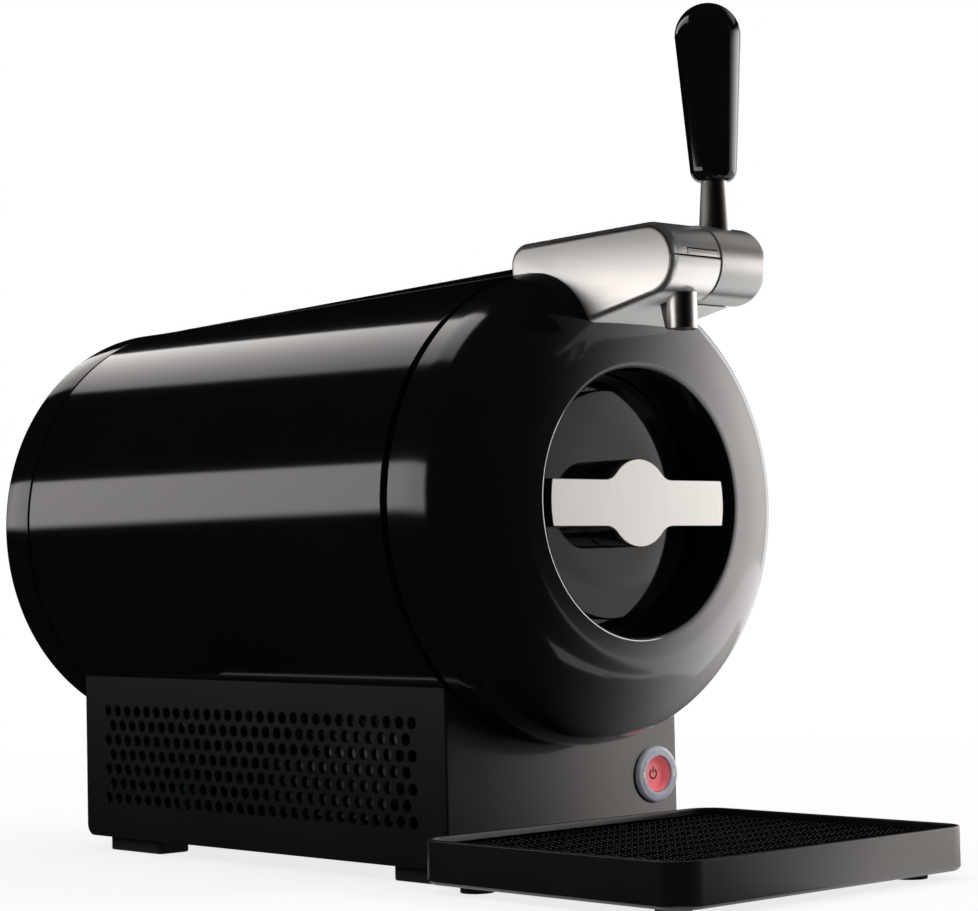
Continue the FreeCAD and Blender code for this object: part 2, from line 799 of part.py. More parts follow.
def make_cradle():
    """Two ribs that the drum lies on, each with screw bosses and an air gap."""
    half = base_half_width - base_wall - 0.2
    floor = base_bottom + 3
    ribs = []
    for y in (-44.0, 116.0):
        rib = box(-half, half, y, y + 4, floor, 110)
        rib = rib.cut(box(-36, 36, y - 1, y + 5, floor + 6, 52))
        for x in (-46.0, 46.0):
            rib = rib.fuse(box(x - 5, x + 5, y + 3, y + 13, floor, floor + 14))
            rib = rib.cut(upright_prism(1.65, x, y + 8, floor - 1, floor + 12, 6))
        ribs.append(rib.cut(drum_solid(0.1, y - 5, y + 20)))
    return Part.makeCompound(ribs)


def make_foot(side, y0, y1):
    """Rubber foot block with cut corners."""
    outer = base_half_width - 4.0
    x0 = side * (outer - foot_width / 2) - foot_width / 2
    block = box(x0, x0 + foot_width, y0, y1, 0, foot_height)
    return block.makeChamfer(2.0, [edge for edge in block.Edges if is_along(edge, Z_AXIS)])


# ---- cooling and electrics ----------------------------------------------------------
def make_cold_block():
    """Aluminium block that carries heat from the chamber; its top is a saddle."""
    block = box(-26, 26, 34, 86, 55.2, axis_z)
    return block.cut(y_rod(chamber_radius + chamber_wall + 0.03, 0, 120))


def make_module():
    """Thermoelectric module."""
    return box(-20, 20, 40, 80, 51.4, 55.2)


def make_heat_sink():
    """Base plate with downward fins."""
    sink = box(-40, 40, 10, 110, 45.4, 51.4)
    for k in range(11):
        x = -38.75 + k * 7.5
        sink = sink.fuse(box(x, x + 2.5, 10, 110, 22.5, 45.4))
    return sink.removeSplitter()


def make_fan_frame():
    """Square fan frame with a motor seat on three struts."""
    z0 = base_bottom + 3.1
    frame = box(-40, 40, 20, 100, z0, z0 + 10)
    frame = frame.cut(upright_prism(37.8, 0, 60, z0 - 1, z0 + 11, hidden_sides))
    for k in range(3):
        strut = box(0, 39, 58.2, 61.8, z0, z0 + 2)
        strut.rotate(V(0, 60, 0), Z_AXIS, 120 * k + 30)
        frame = frame.fuse(strut)
    frame = frame.fuse(upright_prism(13, 0, 60, z0, z0 + 2, 12))
    return frame.cut(rod(1.5 + running, (0, 60, z0 - 1), Z_AXIS, 5))


def make_fan_rotor():
    """Hub, shaft and seven pitched blades."""
    z0 = base_bottom + 3.1
    rotor = upright_prism(12.5, 0, 60, z0 + 2.5, z0 + 9.5, 14)
    rotor = rotor.fuse(rod(1.5, (0, 60, z0 + 0.3), Z_AXIS, 3))
    for k in range(7):
        blade = Part.makeBox(25, 13, 1.2, V(11, -6.5, -0.6))
        blade.rotate(V(0, 0, 0), X_AXIS, 26)
        blade.translate(V(0, 60, z0 + 6))
        blade.rotate(V(0, 60, 0), Z_AXIS, k * 360 / 7)
        rotor = rotor.fuse(blade)
    return rotor


def make_power_supply():
    """Open-frame supply: board on four posts, transformer, heat sink and capacitors."""
    z0 = base_bottom + 7
    supply = box(-45, 45, 130, 204, z0, z0 + 1.6)
    supply = supply.fuse(box(-20, 16, 142, 176, z0 + 1.6, z0 + 30))
    supply = supply.fuse(box(-40, -30, 134, 190, z0 + 1.6, z0 + 22))
    for y in (140, 160, 182):
        supply = supply.fuse(upright_prism(8, 29, y, z0 + 1.6, z0 + 27.6, 8))
    for x in (-40, 40):
        for y in (133.2, 200):
            supply = supply.fuse(box(x - 3, x + 3, y - 3, y + 3, base_bottom + 3, z0))
    return supply.removeSplitter()


def make_control_board():
    """Upright board behind the button, with a processor and a connector."""
    board = box(14, 72, -59.6, -58.0, base_bottom + 3, 58)
    board = board.fuse(box(18, 30, -58, -55, 30, 42))
    return board.fuse(box(34, 52, -58, -50, 14, 22)).removeSplitter()


def make_gland():
    """Bushing that the mains cord leaves through, with a hexagon collar."""
    collar = prism(12, base_rear, base_rear + 3, sides=6, x=45, z=34)
    sleeve = prism(7.8, base_rear - 12, base_rear + 1, sides=12, x=45, z=34)
    return collar.fuse(sleeve).cut(y_rod(4.2, base_rear - 20, base_rear + 9, 34, 45))


def make_button_ring():
    """Clear light ring with a sleeve through the panel and two small side clips."""
    front = shell_front - ring_proud
    bore = button_radius + 0.3
    profile = [
        (front, bore),
        (front, ring_radius - 1),
        (front + 1, ring_radius),
        (shell_front - 0.05, ring_radius),
        (shell_front - 0.05, 12.8),
        (shell_front + 8, 12.8),
        (shell_front + 8, bore),
    ]
    wire = outline(profile, lambda q: V(button_x, q[0], button_z + q[1]))
    ring = Part.Face(wire).revolve(V(button_x, 0, button_z), Y_AXIS, 360)
    for side in (-1, 1):
        clip = box(button_x + side * 13.2 - 1.6, button_x + side * 13.2 + 1.6,
                   front + 0.6, shell_front - 0.05, button_z - 3.5, button_z + 3.5)
        ring = ring.fuse(clip)
    return ring


def make_button():
    """Push button with an eased front edge."""
    front = shell_front - 2.0
    button = y_rod(button_radius, front, shell_front + 5.5, button_z, button_x)
    return button.makeChamfer(0.8, [edge for edge in button.Edges
                                    if abs(edge.BoundBox.YMax - front) < 1e-6])


def make_switch():
    """Push switch on the board, behind the button."""
    start = shell_front + 5.5 + button_travel + 0.3
    body = box(button_x - 6, button_x + 6, start + 3, -59.6, button_z - 6, button_z + 6)
    plunger = box(button_x - 2, button_x + 2, start, start + 3.5, button_z - 2, button_z + 2)
    return body.fuse(plunger).removeSplitter()


# ---- drip tray ----------------------------------------------------------------------
def make_tray():
    """Open tray with rounded corners and a ledge for the grate."""
    half = tray_half_width
    tray = rounded_block(-half, half, tray_front, tray_rear, tray_bottom, tray_top, tray_corner)
    tray = tray.makeChamfer(1.6, [edge for edge in tray.Edges
                                  if edge.BoundBox.ZMax < tray_bottom + 0.1])
    ledge_z = grate_top - grate_thickness - 0.3
    wall = tray_wall
    well = rounded_block(-half + wall, half - wall, tray_front + wall, tray_rear - wall,
                         ledge_z, tray_top + 1, tray_corner - wall)
    wall = tray_wall + tray_ledge
    sump = rounded_block(-half + wall, half - wall, tray_front + wall, tray_rear - wall,
                         tray_bottom + 2.5, ledge_z + 1, tray_corner - wall)
    return tray.cut(well).cut(sump)


def make_grate():
    """Flat grate with rows of drain slots and two finger holes."""
    gap = tray_wall + 0.4
    half = tray_half_width - gap
    grate = rounded_block(-half, half, tray_front + gap, tray_rear - gap,
                          grate_top - grate_thickness, grate_top, tray_corner - gap)
    for column in range(grate_columns):
        x = (column - (grate_columns - 1) / 2) * 34.0
        for row in range(grate_rows):
            y = tray_front + 14 + row * 15.5
            slot = box(x - 14, x + 14, y - 1.2, y + 1.2, 0, 30)
            grate = grate.cut(slot)
    return grate


def make_tray_feet():
    """Four pads that the tray stands on."""
    pads = []
    for x in (-80.0, 80.0):
        for y in (tray_front + 22, tray_rear - 22):
            pads.append(upright_prism(8.0, x, y, 0, tray_bottom, 12))
    return Part.makeCompound(pads)


# ---- build --------------------------------------------------------------------------
save("main_shell", make_shell())
save("rear_cap", make_rear_cap())
save("top_spine", make_spine())
save("nose_ring", make_nose())
save("front_bulkhead", make_bulkhead())
save("tube_guide", make_tube_guide())
save("keg_chamber", make_chamber())
save("chamber_end", make_chamber_end())
save("chamber_insulation", make_foam())
save("keg_bumper", make_keg_bumper())

save("door_disc", make_door_disc())
save("door_body", make_door_body())
save("door_seal", make_door_seal())
save("door_insulation", make_door_insulation())
save("door_back", make_door_back())
save("handle_body", make_handle_body())
save("handle_face", make_handle_face())
save("handle_shaft", make_handle_shaft())
save("latch_plate", make_latch())

tap_seat = seat_cutter()
save("tap_arm", make_tap_arm(tap_seat))
save("cheek_plate_left", make_cheek(tap_seat, -1))
save("cheek_plate_right", make_cheek(tap_seat, 1))
save("tap_lid", make_lid())
save("pinch_pad", make_pinch_pad())
save("lid_hinge_pin", x_rod(hinge_pin_radius, -26, 26, hinge_y, arm_top_rear_z - hinge_radius))
save("spout", make_spout())
save("barrel_end", make_barrel_end())
save("tap_shaft", make_tap_shaft())
save("pinch_cam", make_cam())
save("shaft_bushing", make_bushing())
save("lever_stem", make_stem())
save("lever_grip", make_grip())

save("side_panel_left", make_side_panel(-1))
save("side_panel_right", make_side_panel(1))
save("base_front_panel", make_front_panel())
save("base_rear_panel", make_rear_panel())
save("bottom_plate", make_bottom_plate())
save("bottom_screws", make_screws())
save("drum_cradle", make_cradle())
for side_name, side in (("left", -1), ("right", 1)):
    save("foot_front_" + side_name, make_foot(side, -74.0, -33.0))
    save("foot_rear_" + side_name, make_foot(side, 157.0, 204.0))

save("cold_block", make_cold_block())
save("thermoelectric_module", make_module())
save("heat_sink", make_heat_sink())
save("fan_frame", make_fan_frame())
save("fan_rotor", make_fan_rotor())
save("power_supply", make_power_supply())
save("control_board", make_control_board())
save("cord_gland", make_gland())
save("button_ring", make_button_ring())
save("power_button", make_button())
save("power_switch", make_switch())

save("drip_tray", make_tray())
save("tray_feet", make_tray_feet())
save("drip_grate", make_grate())
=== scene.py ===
from functools import partialmethod
import json
import math

import bmesh
import bpy
from mathutils import Matrix, Vector


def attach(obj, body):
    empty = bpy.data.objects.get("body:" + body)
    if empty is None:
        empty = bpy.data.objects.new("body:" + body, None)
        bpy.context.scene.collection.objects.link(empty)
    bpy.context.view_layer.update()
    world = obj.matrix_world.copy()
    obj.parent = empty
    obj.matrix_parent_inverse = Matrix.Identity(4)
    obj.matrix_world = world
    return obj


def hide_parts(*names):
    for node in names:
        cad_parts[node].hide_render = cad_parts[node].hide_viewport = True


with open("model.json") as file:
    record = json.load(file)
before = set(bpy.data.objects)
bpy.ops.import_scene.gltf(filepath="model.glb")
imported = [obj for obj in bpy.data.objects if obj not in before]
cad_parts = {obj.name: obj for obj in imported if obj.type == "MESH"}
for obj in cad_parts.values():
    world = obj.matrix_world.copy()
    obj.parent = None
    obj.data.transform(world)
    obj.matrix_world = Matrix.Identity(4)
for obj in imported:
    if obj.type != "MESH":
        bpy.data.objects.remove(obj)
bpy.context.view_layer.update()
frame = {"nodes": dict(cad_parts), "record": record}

# Mini keg beer dispenser. Sizes are in millimetres here, and meshes are scaled when made.
MM = 0.001
nodes = frame["nodes"]
slot_of = {part["node"]: part["material_slot"] for part in frame["record"]["subparts"]}
body_of = {node: body for body, members in frame["record"]["behaviour"]["bodies"].items()
           for node in members}

# ---- sizes: the part's own, and those of finer shapes made only here ----
axis_z = 177.0
drum_radius = 115.0
rear_radius = 112.5
rear_axis_z = 175.5
shell_wall = 2.5
shell_front = -77.6
shell_rear = 221.8
drum_end = 244.5
cap_round = 2.0
seam = 1.9                     # open groove between the sleeve and the rear cap
spine_half_width = 20.0
spine_front = -71.0
spine_rear = 206.0
spine_rise = 3.2
nose_back = -82.1
nose_round = 42.0
nose_front = -134.0
mouth_radius = 63.9
lip_round = 3.0
lip_back = -128.0
base_half_width = 77.9
base_rear = 218.9
base_bottom = 7.5
base_wall = 3.0
base_corner = 6.0
vent_first_y = -53.7
vent_last_y = 198.1
vent_top_z = 75.5
vent_row_pitch = 7.85
vent_rows = 7
vent_columns = 29
vent_radius = 2.9
disc_radius = 59.3
disc_front = -106.0
pad_radius = 55.0              # raised face of the disc, on which the handle turns
pad_front = -112.0
tube_x = -13.5
barrel_y = -168.0
barrel_z = 286.4
barrel_radius = 17.5
end_radius = 18.0
end_inner_x = 1.5
end_outer_x = 34.6
arm_half_width = 30.5
arm_top_rear_z = 302.8
arm_rear = -77.4
arm_slope = 0.2
arm_round = 3.6
lever_x = 17.2
stem_foot_z = 301.4
grip_bottom = 326.0
grip_top = 411.0
grip_radius = 15.5
grip_foot_radius = 11.0
grip_lean = 1.7
stem_base_radius = 7.75
stem_top_radius = 6.15
spout_y = -174.2
spout_radius = 7.0
spout_bore = 3.6
spout_mouth = 5.6
spout_tip_z = 254.8
spout_top_z = 271.6
button_x = 62.0
button_z = 43.4
button_radius = 8.7
cup_radius = 7.7
cup_depth = 3.6
button_front = shell_front - 2.0
ring_front = shell_front - 3.0
tray_front = -244.5
grate_top = 21.5
slot_every = 4                 # rows of studs from one row of drain slots to the next
stud_pitch = 4.0
stud_row_pitch = 15.5 / slot_every
stud_first_x = -91.2
stud_first_y = tray_front + 14 - 2 * stud_row_pitch
drum_sides = 288               # facets round the sleeve and the nose


# ---- node trees ----
class Wire:
    """An output of a node; Python's operators on it add Math nodes."""

    def __init__(self, graph, socket):
        self.graph = graph
        self.socket = socket

    def maths(self, operation, *others):
        """A Math node that takes this value first and then the others."""
        return self.graph.node("ShaderNodeMath", dict(enumerate((self, *others))),
                               operation=operation)

    __add__ = __radd__ = partialmethod(maths, "ADD")
    __sub__ = partialmethod(maths, "SUBTRACT")
    __mul__ = __rmul__ = partialmethod(maths, "MULTIPLY")
    __truediv__ = partialmethod(maths, "DIVIDE")
    __mod__ = partialmethod(maths, "FLOORED_MODULO")
    __lt__ = partialmethod(maths, "LESS_THAN")
    __gt__ = partialmethod(maths, "GREATER_THAN")
    __abs__ = partialmethod(maths, "ABSOLUTE")

    def __rsub__(self, other):
        return self.graph.node("ShaderNodeMath", {0: other, 1: self}, operation="SUBTRACT")

    def __floordiv__(self, other):
        return (self / other).maths("FLOOR")

    def __getitem__(self, name):
        """Another output of the same node."""
        return Wire(self.graph, self.socket.node.outputs[name])


class Graph:
    """A node tree that one method fills."""

    def __init__(self, tree):
        self.tree = tree
        tree.nodes.clear()

    def node(self, kind, sockets=None, out=0, **settings):
        """Add a node: its settings first, then the values or links of its sockets."""
        made = self.tree.nodes.new(kind)
        for key, value in settings.items():
            setattr(made, key, value)
        for key, value in (sockets or {}).items():
            self.put(made.inputs[key], value)
        return Wire(self, made.outputs[out]) if made.outputs else made

    def put(self, socket, value):
        """Link or set one socket."""
        if isinstance(value, Wire):
            self.tree.links.new(value.socket, socket)
        else:
            socket.default_value = value

    def axis(self, vector, name="X"):
        """One coordinate of a vector."""
        return self.node("ShaderNodeSeparateXYZ", {0: vector})[name]

    def vector(self, **axes):
        """A vector with the given coordinates; the others are 0."""
        return self.node("ShaderNodeCombineXYZ", axes)

    def ramp(self, value, start, end, low=0.0, high=1.0, kind="LINEAR"):
        """A value mapped from one range to another, and held beyond it."""
        return self.node("ShaderNodeMapRange", {0: value, 1: start, 2: end, 3: low, 4: high},
                         interpolation_type=kind)


class Coat(Graph):
    """The node tree of a new material."""

    def __init__(self, name):
        self.name = name
        self.material = bpy.data.materials.new(name)
        self.material.use_nodes = True
        super().__init__(self.material.node_tree)

    def surface(self, shader):
        """Give the material its shader."""
        self.node("ShaderNodeOutputMaterial", {"Surface": shader})
        return self.material


finishes = {}                  # every finish of the pieces, by its name


class Finish(Coat):
    """A material with one Principled shader. What varies reads the piece's own coordinates."""

    def __init__(self, name, **constants):
        super().__init__(name)
        shader = self.node("ShaderNodeBsdfPrincipled")
        self.surface(shader)
        self.shader = shader.socket.node
        for key, value in constants.items():
            self.shader.inputs[key.replace("_", " ")].default_value = value
        self.place = self.node("ShaderNodeTexCoord", out="Object")

    def feed(self, name, value):
        self.put(self.shader.inputs[name], value)

    def noise(self, scale, detail, stretch=(1, 1, 1)):
        """Cloudy noise of so many waves per metre, stretched along an axis by a small factor."""
        spot = self.node("ShaderNodeMapping", {"Vector": self.place, "Scale": stretch})
        return self.node("ShaderNodeTexNoise",
                         {"Vector": spot, "Scale": scale, "Detail": detail})

    def cells(self, scale):
        """Distance to the nearest of scattered points."""
        return self.node("ShaderNodeTexVoronoi", {"Vector": self.place, "Scale": scale})

    def blend(self, factor, low, high):
        """Mix of two colours."""
        return self.node("ShaderNodeMix", {0: factor, 6: low, 7: high}, 2, data_type="RGBA")

    def made(self, colour, rough, height, depth):
        """Feed colour, roughness and a relief of so many millimetres, and keep the finish."""
        self.feed("Base Color", colour)
        self.feed("Roughness", rough)
        self.feed("Normal", self.node("ShaderNodeBump", {
            "Height": height, "Distance": depth * MM, "Strength": 1.0}))
        finishes[self.name] = self.material

    def strokes(self, colour, rough, waves, stretch):
        """Brush lines, the metal's colour drawn with them, and the roughness they give."""
        lines = self.noise(waves, 2, stretch)
        wide = self.noise(900, 2, stretch)
        pale = tuple(min(1.0, value * 1.08) for value in colour[:3]) + (1,)
        deep = tuple(value * 0.93 for value in colour[:3]) + (1,)
        uneven = rough + (lines - 0.5) * 0.12 + (wide - 0.5) * 0.04
        return lines, self.blend(lines * 0.6 + wide * 0.4, deep, pale), uneven


def grey(level, warm=0.0):
    """Linear colour, a little warmer or cooler than neutral."""
    return (level * (1 + warm), level, level * (1 - warm), 1)


# ---- finishes ----
def lacquer(name, dark, light, gloss, shine=0.5):
    """Polished plastic: deep colour, faint flow waves, slightly uneven gloss."""
    finish = Finish(name, IOR=1.5, Specular_IOR_Level=shine)
    flow = finish.noise(9, 3)
    fine = finish.noise(420, 2)
    finish.made(finish.blend(flow, dark, light),
                gloss + flow * 0.03 + fine * 0.015, finish.noise(70, 1), 0.004)


def moulded(name, dark, light, rough, grain, depth, shine=0.5):
    """Satin or matt moulded plastic with a spark-eroded grain."""
    finish = Finish(name, IOR=1.5, Specular_IOR_Level=shine)
    cloud = finish.noise(16, 3)
    spark = finish.noise(grain, 2)
    finish.made(finish.blend(cloud, dark, light),
                rough + (cloud - 0.5) * 0.08 + (spark - 0.5) * 0.12, spark, depth)


def brushed(name, colour, rough, stretch, depth=0.002, waves=5200):
    """Metal brushed along the axes whose stretch factor is small."""
    finish = Finish(name, Metallic=1.0)
    lines, drawn_colour, uneven = finish.strokes(colour, rough, waves, stretch)
    finish.made(drawn_colour, uneven, lines, depth)


def tap_finish_with_painted_underside(name, colour):
    """Metal brushed round the barrel, with a paler, duller, less metallic underside: painted light,
    standing in for the underside's bright look.
    """
    finish = Finish(name)
    # under is 1 below the barrel's lowest line, on the sloping underside, which is painted paler
    # and duller: painted light.
    level = finish.axis(finish.place, "Z") + finish.axis(finish.place, "Y") * arm_slope
    edge = (barrel_z - barrel_radius + arm_slope * barrel_y) * MM
    under = finish.ramp(level, edge + 0.0008, edge - 0.0003)
    lines, drawn_colour, uneven = finish.strokes(colour, 0.36, 5200, (1, 0.02, 0.02))
    # Painted light: the underside's paler colour, lower metallic and extra roughness stand in for
    # its bright look.
    finish.feed("Metallic", 0.95 - under * 0.8)
    finish.made(finish.blend(under, drawn_colour, (0.74, 0.73, 0.71, 1)),
                uneven + under * 0.2, lines, 0.0015)


def polished(name, colour, rough):
    """Turned or plated metal with faint machining marks."""
    finish = Finish(name, Metallic=1.0)
    marks = finish.noise(700, 2, (1, 1, 0.1))
    worn = finish.noise(60, 3)
    deep = tuple(value * 0.85 for value in colour[:3]) + (1,)
    finish.made(finish.blend(worn, deep, colour),
                rough + (marks - 0.5) * 0.12 + worn * 0.05, marks, 0.003)


def soft(name, dark, light, rough, grain, depth, shine=0.5):
    """Rubber, foam, ceramic and the like: matt, with pores."""
    finish = Finish(name, Specular_IOR_Level=shine)
    cloud = finish.noise(40, 4)
    pores = finish.cells(grain)
    finish.made(finish.blend(cloud, dark, light),
                rough + (cloud - 0.5) * 0.1, pores, depth)


def circuit(name):
    """Circuit board: green solder mask over copper tracks."""
    finish = Finish(name)
    across = (finish.axis(finish.place) * 400) % 1.0 < 0.3
    patches = finish.noise(90, 0) > 0.5
    tracks = across * patches
    finish.made(finish.blend(tracks, (0.01, 0.09, 0.035, 1), (0.03, 0.2, 0.08, 1)),
                0.35 + patches * 0.1, tracks, 0.03)


def clear(name):
    """Frosted clear plastic of the light ring."""
    finish = Finish(name, IOR=1.49, Transmission_Weight=0.25)
    haze = finish.noise(300, 3)
    finish.made(finish.blend(haze, (0.6, 0.58, 0.72, 1), (0.86, 0.92, 0.98, 1)),
                0.14 + haze * 0.1, haze, 0.01)


def red_cap(name):
    """Red moulded plastic with its lamp glowing faintly through."""
    finish = Finish(name, IOR=1.49, Emission_Color=(1, 0.2, 0.22, 1), Emission_Strength=0.16)
    cloud = finish.noise(120, 3)
    finish.made(finish.blend(cloud, (0.84, 0.2, 0.23, 1), (0.92, 0.28, 0.31, 1)),
                0.3 + cloud * 0.08, finish.noise(900, 2), 0.004)


metal = (0.63, 0.615, 0.6, 1)
lacquer("gloss_black", grey(0.002), grey(0.004), 0.06)
lacquer("door_gloss", grey(0.002), grey(0.0035), 0.045)
moulded("satin_black", grey(0.003, 0.03), grey(0.006, 0.03), 0.36, 1600, 0.008)
moulded("base_black", grey(0.003, 0.03), grey(0.005, 0.03), 0.4, 2200, 0.012, 0.32)
brushed("brushed_metal", metal, 0.3, (1, 0.03, 1))
polished("steel", (0.58, 0.58, 0.59, 1), 0.2)
polished("brass", (0.68, 0.5, 0.24, 1), 0.22)
brushed("aluminium", (0.78, 0.78, 0.79, 1), 0.34, (1, 0.05, 1))
soft("rubber", grey(0.002), grey(0.004), 0.75, 2500, 0.02, 0.15)
soft("foam", grey(0.02), grey(0.035), 0.92, 900, 0.4)
soft("ceramic", grey(0.74, 0.02), grey(0.86, 0.01), 0.6, 1500, 0.02)
soft("acetal", grey(0.72, 0.01), grey(0.82, 0.01), 0.4, 1800, 0.006)
circuit("circuit_green")
clear("clear_plastic")
red_cap("button_red")
tap_finish_with_painted_underside("turned_metal", metal)
brushed("upright_metal", metal, 0.36, (1, 1, 0.03), 0.001)
brushed("plate_metal", metal, 0.22, (1, 1, 0.03))
brushed("cheek_metal", (0.68, 0.665, 0.65, 1), 0.36, (1, 0.03, 1), 0.008, 1500)
lacquer("nose_black", grey(0.002), grey(0.004), 0.09)
lacquer("grate_black", grey(0.0015), grey(0.0025), 0.4, 0.0)
lacquer("stud_black", grey(0.002), grey(0.003), 0.14, 0.35)
moulded("print_maroon", (0.03, 0.001, 0.002, 1), (0.06, 0.002, 0.004, 1), 0.5, 3000, 0.002)

for name, node in nodes.items():
    node.data.materials.clear()
    node.data.materials.append(finishes[slot_of[name]])


# ---- shaping ----
def arc(centre, radius, start, end, steps):
    """Points on an arc of a profile, both ends included; angles in degrees."""
    angles = [math.radians(start + (end - start) * k / steps) for k in range(steps + 1)]
    return [(centre[0] + radius * math.cos(a), centre[1] + radius * math.sin(a)) for a in angles]


def skin(sections, closed=True):
    """Mesh through sections of equal point count; a section of one point is a pole."""
    shape = bmesh.new()
    rings = [[shape.verts.new(point) for point in section] for section in sections]
    pairs = list(zip(rings, rings[1:]))
    if closed:
        pairs.append((rings[-1], rings[0]))
    for low, high in pairs:
        count = max(len(low), len(high))
        if count == 1:
            continue
        for k in range(count):
            n = (k + 1) % count
            corners = [low[k % len(low)], low[n % len(low)],
                       high[n % len(high)], high[k % len(high)]]
            shape.faces.new(list(dict.fromkeys(corners)))
    if not closed:
        shape.faces.new(rings[0])
        shape.faces.new(rings[-1])
    return shape


def turn(profile, place, sides=96):
    """Turned shape: the closed profile's points are (along, radius)."""
    sections = []
    for along, radius in profile:
        if radius < 1e-6:
            sections.append([place(along, 0.0, 0.0)])
            continue
        angles = [2 * math.pi * k / sides for k in range(sides)]
        sections.append([place(along, radius * math.cos(a), radius * math.sin(a))
                         for a in angles])
    return skin(sections)


def on_y(x=0.0, z=axis_z):
    """Placer for shapes turned about a Y axis."""
    return lambda along, u, v: Vector((x + u, along, z + v))


def on_barrel(along, u, v):
    """Placer for shapes turned about the tap's barrel."""
    return Vector((along, barrel_y + u, barrel_z + v))


def upright(x, y):
    """Placer for shapes turned about an upright axis."""
    return lambda along, u, v: Vector((x + u, y + v, along))


def on_grip(along, u, v):
    """Placer for the grip, whose axis leans back up to its widest level."""
    rise = (along - grip_bottom) / (grip_top - grip_radius - grip_bottom)
    return Vector((lever_x + u, barrel_y + grip_lean * min(1.0, rise) + v, along))


def drawn(outline, place, low, high):
    """A flat outline drawn out between two levels."""
    return skin([[place(a, b, low) for a, b in outline], [place(a, b, high) for a, b in outline]],
                closed=False)


def block(x0, x1, y0, y1, z0, z1):
    """Box between two corners."""
    outline = [(x0, y0), (x1, y0), (x1, y1), (x0, y1)]
    return drawn(outline, lambda a, b, level: Vector((a, b, level)), z0, z1)


def mesh_of(name, shape):
    """A shape as a mesh; the shape goes."""
    mesh = bpy.data.meshes.new(name)
    shape.to_mesh(mesh)
    shape.free()
    return mesh


def placed(name, data):
    """An object of some data, in the scene."""
    thing = bpy.data.objects.new(name, data)
    bpy.context.scene.collection.objects.link(thing)
    return thing


def discard(thing):
    """Remove an object and its mesh."""
    mesh = thing.data
    bpy.data.objects.remove(thing)
    bpy.data.meshes.remove(mesh)


def loose(shape, name="tool"):
    """Temporary object of a shape, in millimetres."""
    bmesh.ops.remove_doubles(shape, verts=shape.verts, dist=0.004)
    bmesh.ops.recalc_face_normals(shape, faces=shape.faces)
    return placed(name, mesh_of(name, shape))


def settled(thing):
    """The object's mesh with its modifiers applied; the object goes."""
    depsgraph = bpy.context.evaluated_depsgraph_get()
    mesh = bpy.data.meshes.new_from_object(thing.evaluated_get(depsgraph), depsgraph=depsgraph)
    discard(thing)
    return mesh


def carved(shape, tools, operation="DIFFERENCE"):
    """The shape cut by, held within or joined to other shapes."""
    work = loose(shape)
    helpers = [loose(tool) for tool in tools]
    for helper in helpers:
        cut = work.modifiers.new("cut", "BOOLEAN")
        cut.operation = operation
        cut.solver = "EXACT"
        cut.object = helper
    mesh = settled(work)
    result = bmesh.new()
    result.from_mesh(mesh)
    bpy.data.meshes.remove(mesh)
    for helper in helpers:
        discard(helper)
    return result


def from_node(node):
    """A CAD node's shape in millimetres, merged, with its flat faces made whole."""
    shape = bmesh.new()
    shape.from_mesh(nodes[node].data)
    bmesh.ops.scale(shape, vec=(1 / MM, 1 / MM, 1 / MM), verts=shape.verts)
    bmesh.ops.remove_doubles(shape, verts=shape.verts, dist=0.005)
    bmesh.ops.dissolve_limit(shape, angle_limit=math.radians(0.4),
                             verts=shape.verts, edges=shape.edges)
    return shape


def fit_out(name, mesh, finish, body, replaced, sharp, ease, steps=2):
    """Turn a mesh in metres into a finished piece that rides on its body."""
    mesh.name = name
    mesh.materials.clear()
    mesh.materials.append(finishes[finish])
    mesh.polygons.foreach_set("material_index", [0] * len(mesh.polygons))
    mesh.shade_smooth()
    mesh.set_sharp_from_angle(angle=math.radians(sharp))
    thing = placed(name, mesh)
    if ease:
        rounding = thing.modifiers.new("eased edges", "BEVEL")
        rounding.width = ease * MM
        rounding.segments = steps
        rounding.limit_method = "ANGLE"
        rounding.angle_limit = math.radians(sharp)
        rounding.harden_normals = True
    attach(thing, body)
    if replaced:
        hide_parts(*replaced)
    return thing


def piece(name, shape, replaced, ease=0.0, sharp=32, finish=None, steps=2, turned=True,
          stands=True, slot=None):
    """Finish a shape in millimetres; it stands for the named nodes, or rides beside one."""
    bmesh.ops.remove_doubles(shape, verts=shape.verts, dist=0.004)
    if turned:
        bmesh.ops.recalc_face_normals(shape, faces=shape.faces)
    bmesh.ops.scale(shape, vec=(MM, MM, MM), verts=shape.verts)
    slot = slot or slot_of[replaced[0]]
    return fit_out(name, mesh_of(name, shape), finish or slot,
                   body_of[replaced[0]], replaced if stands else [], sharp, ease, steps)


def dressed(name, node, ease, **more):
    """A CAD node's own shape, finished with eased edges."""
    return piece(name, from_node(node), [node], ease=ease, turned=False, **more)


# ---- drum ----
def share_of_drum(y):
    """How far back a place on the sleeve is, from 0 to 1."""
    return (y - shell_front) / (shell_rear - shell_front)


def drum_centre(y):
    """Level of the sleeve's axis."""
    return axis_z + (rear_axis_z - axis_z) * share_of_drum(y)


def drum_reach(y):
    """Radius of the sleeve."""
    return drum_radius + (rear_radius - drum_radius) * share_of_drum(y)


def on_drum(along, u, v):
    """Placer for the sleeve, whose axis falls off to the rear."""
    return Vector((u, along, drum_centre(along) + v))


def make_sleeve():
    """Tapered sleeve of the drum with a window underneath for the cold block."""
    rear = shell_rear - seam
    profile = [(shell_front, drum_radius - shell_wall), (shell_front, drum_radius),
               (rear, drum_reach(rear)), (rear, drum_reach(rear) - shell_wall)]
    window = block(-27, 27, 33, 87, 40, axis_z - 80)
    return carved(turn(profile, on_drum, drum_sides), [window])


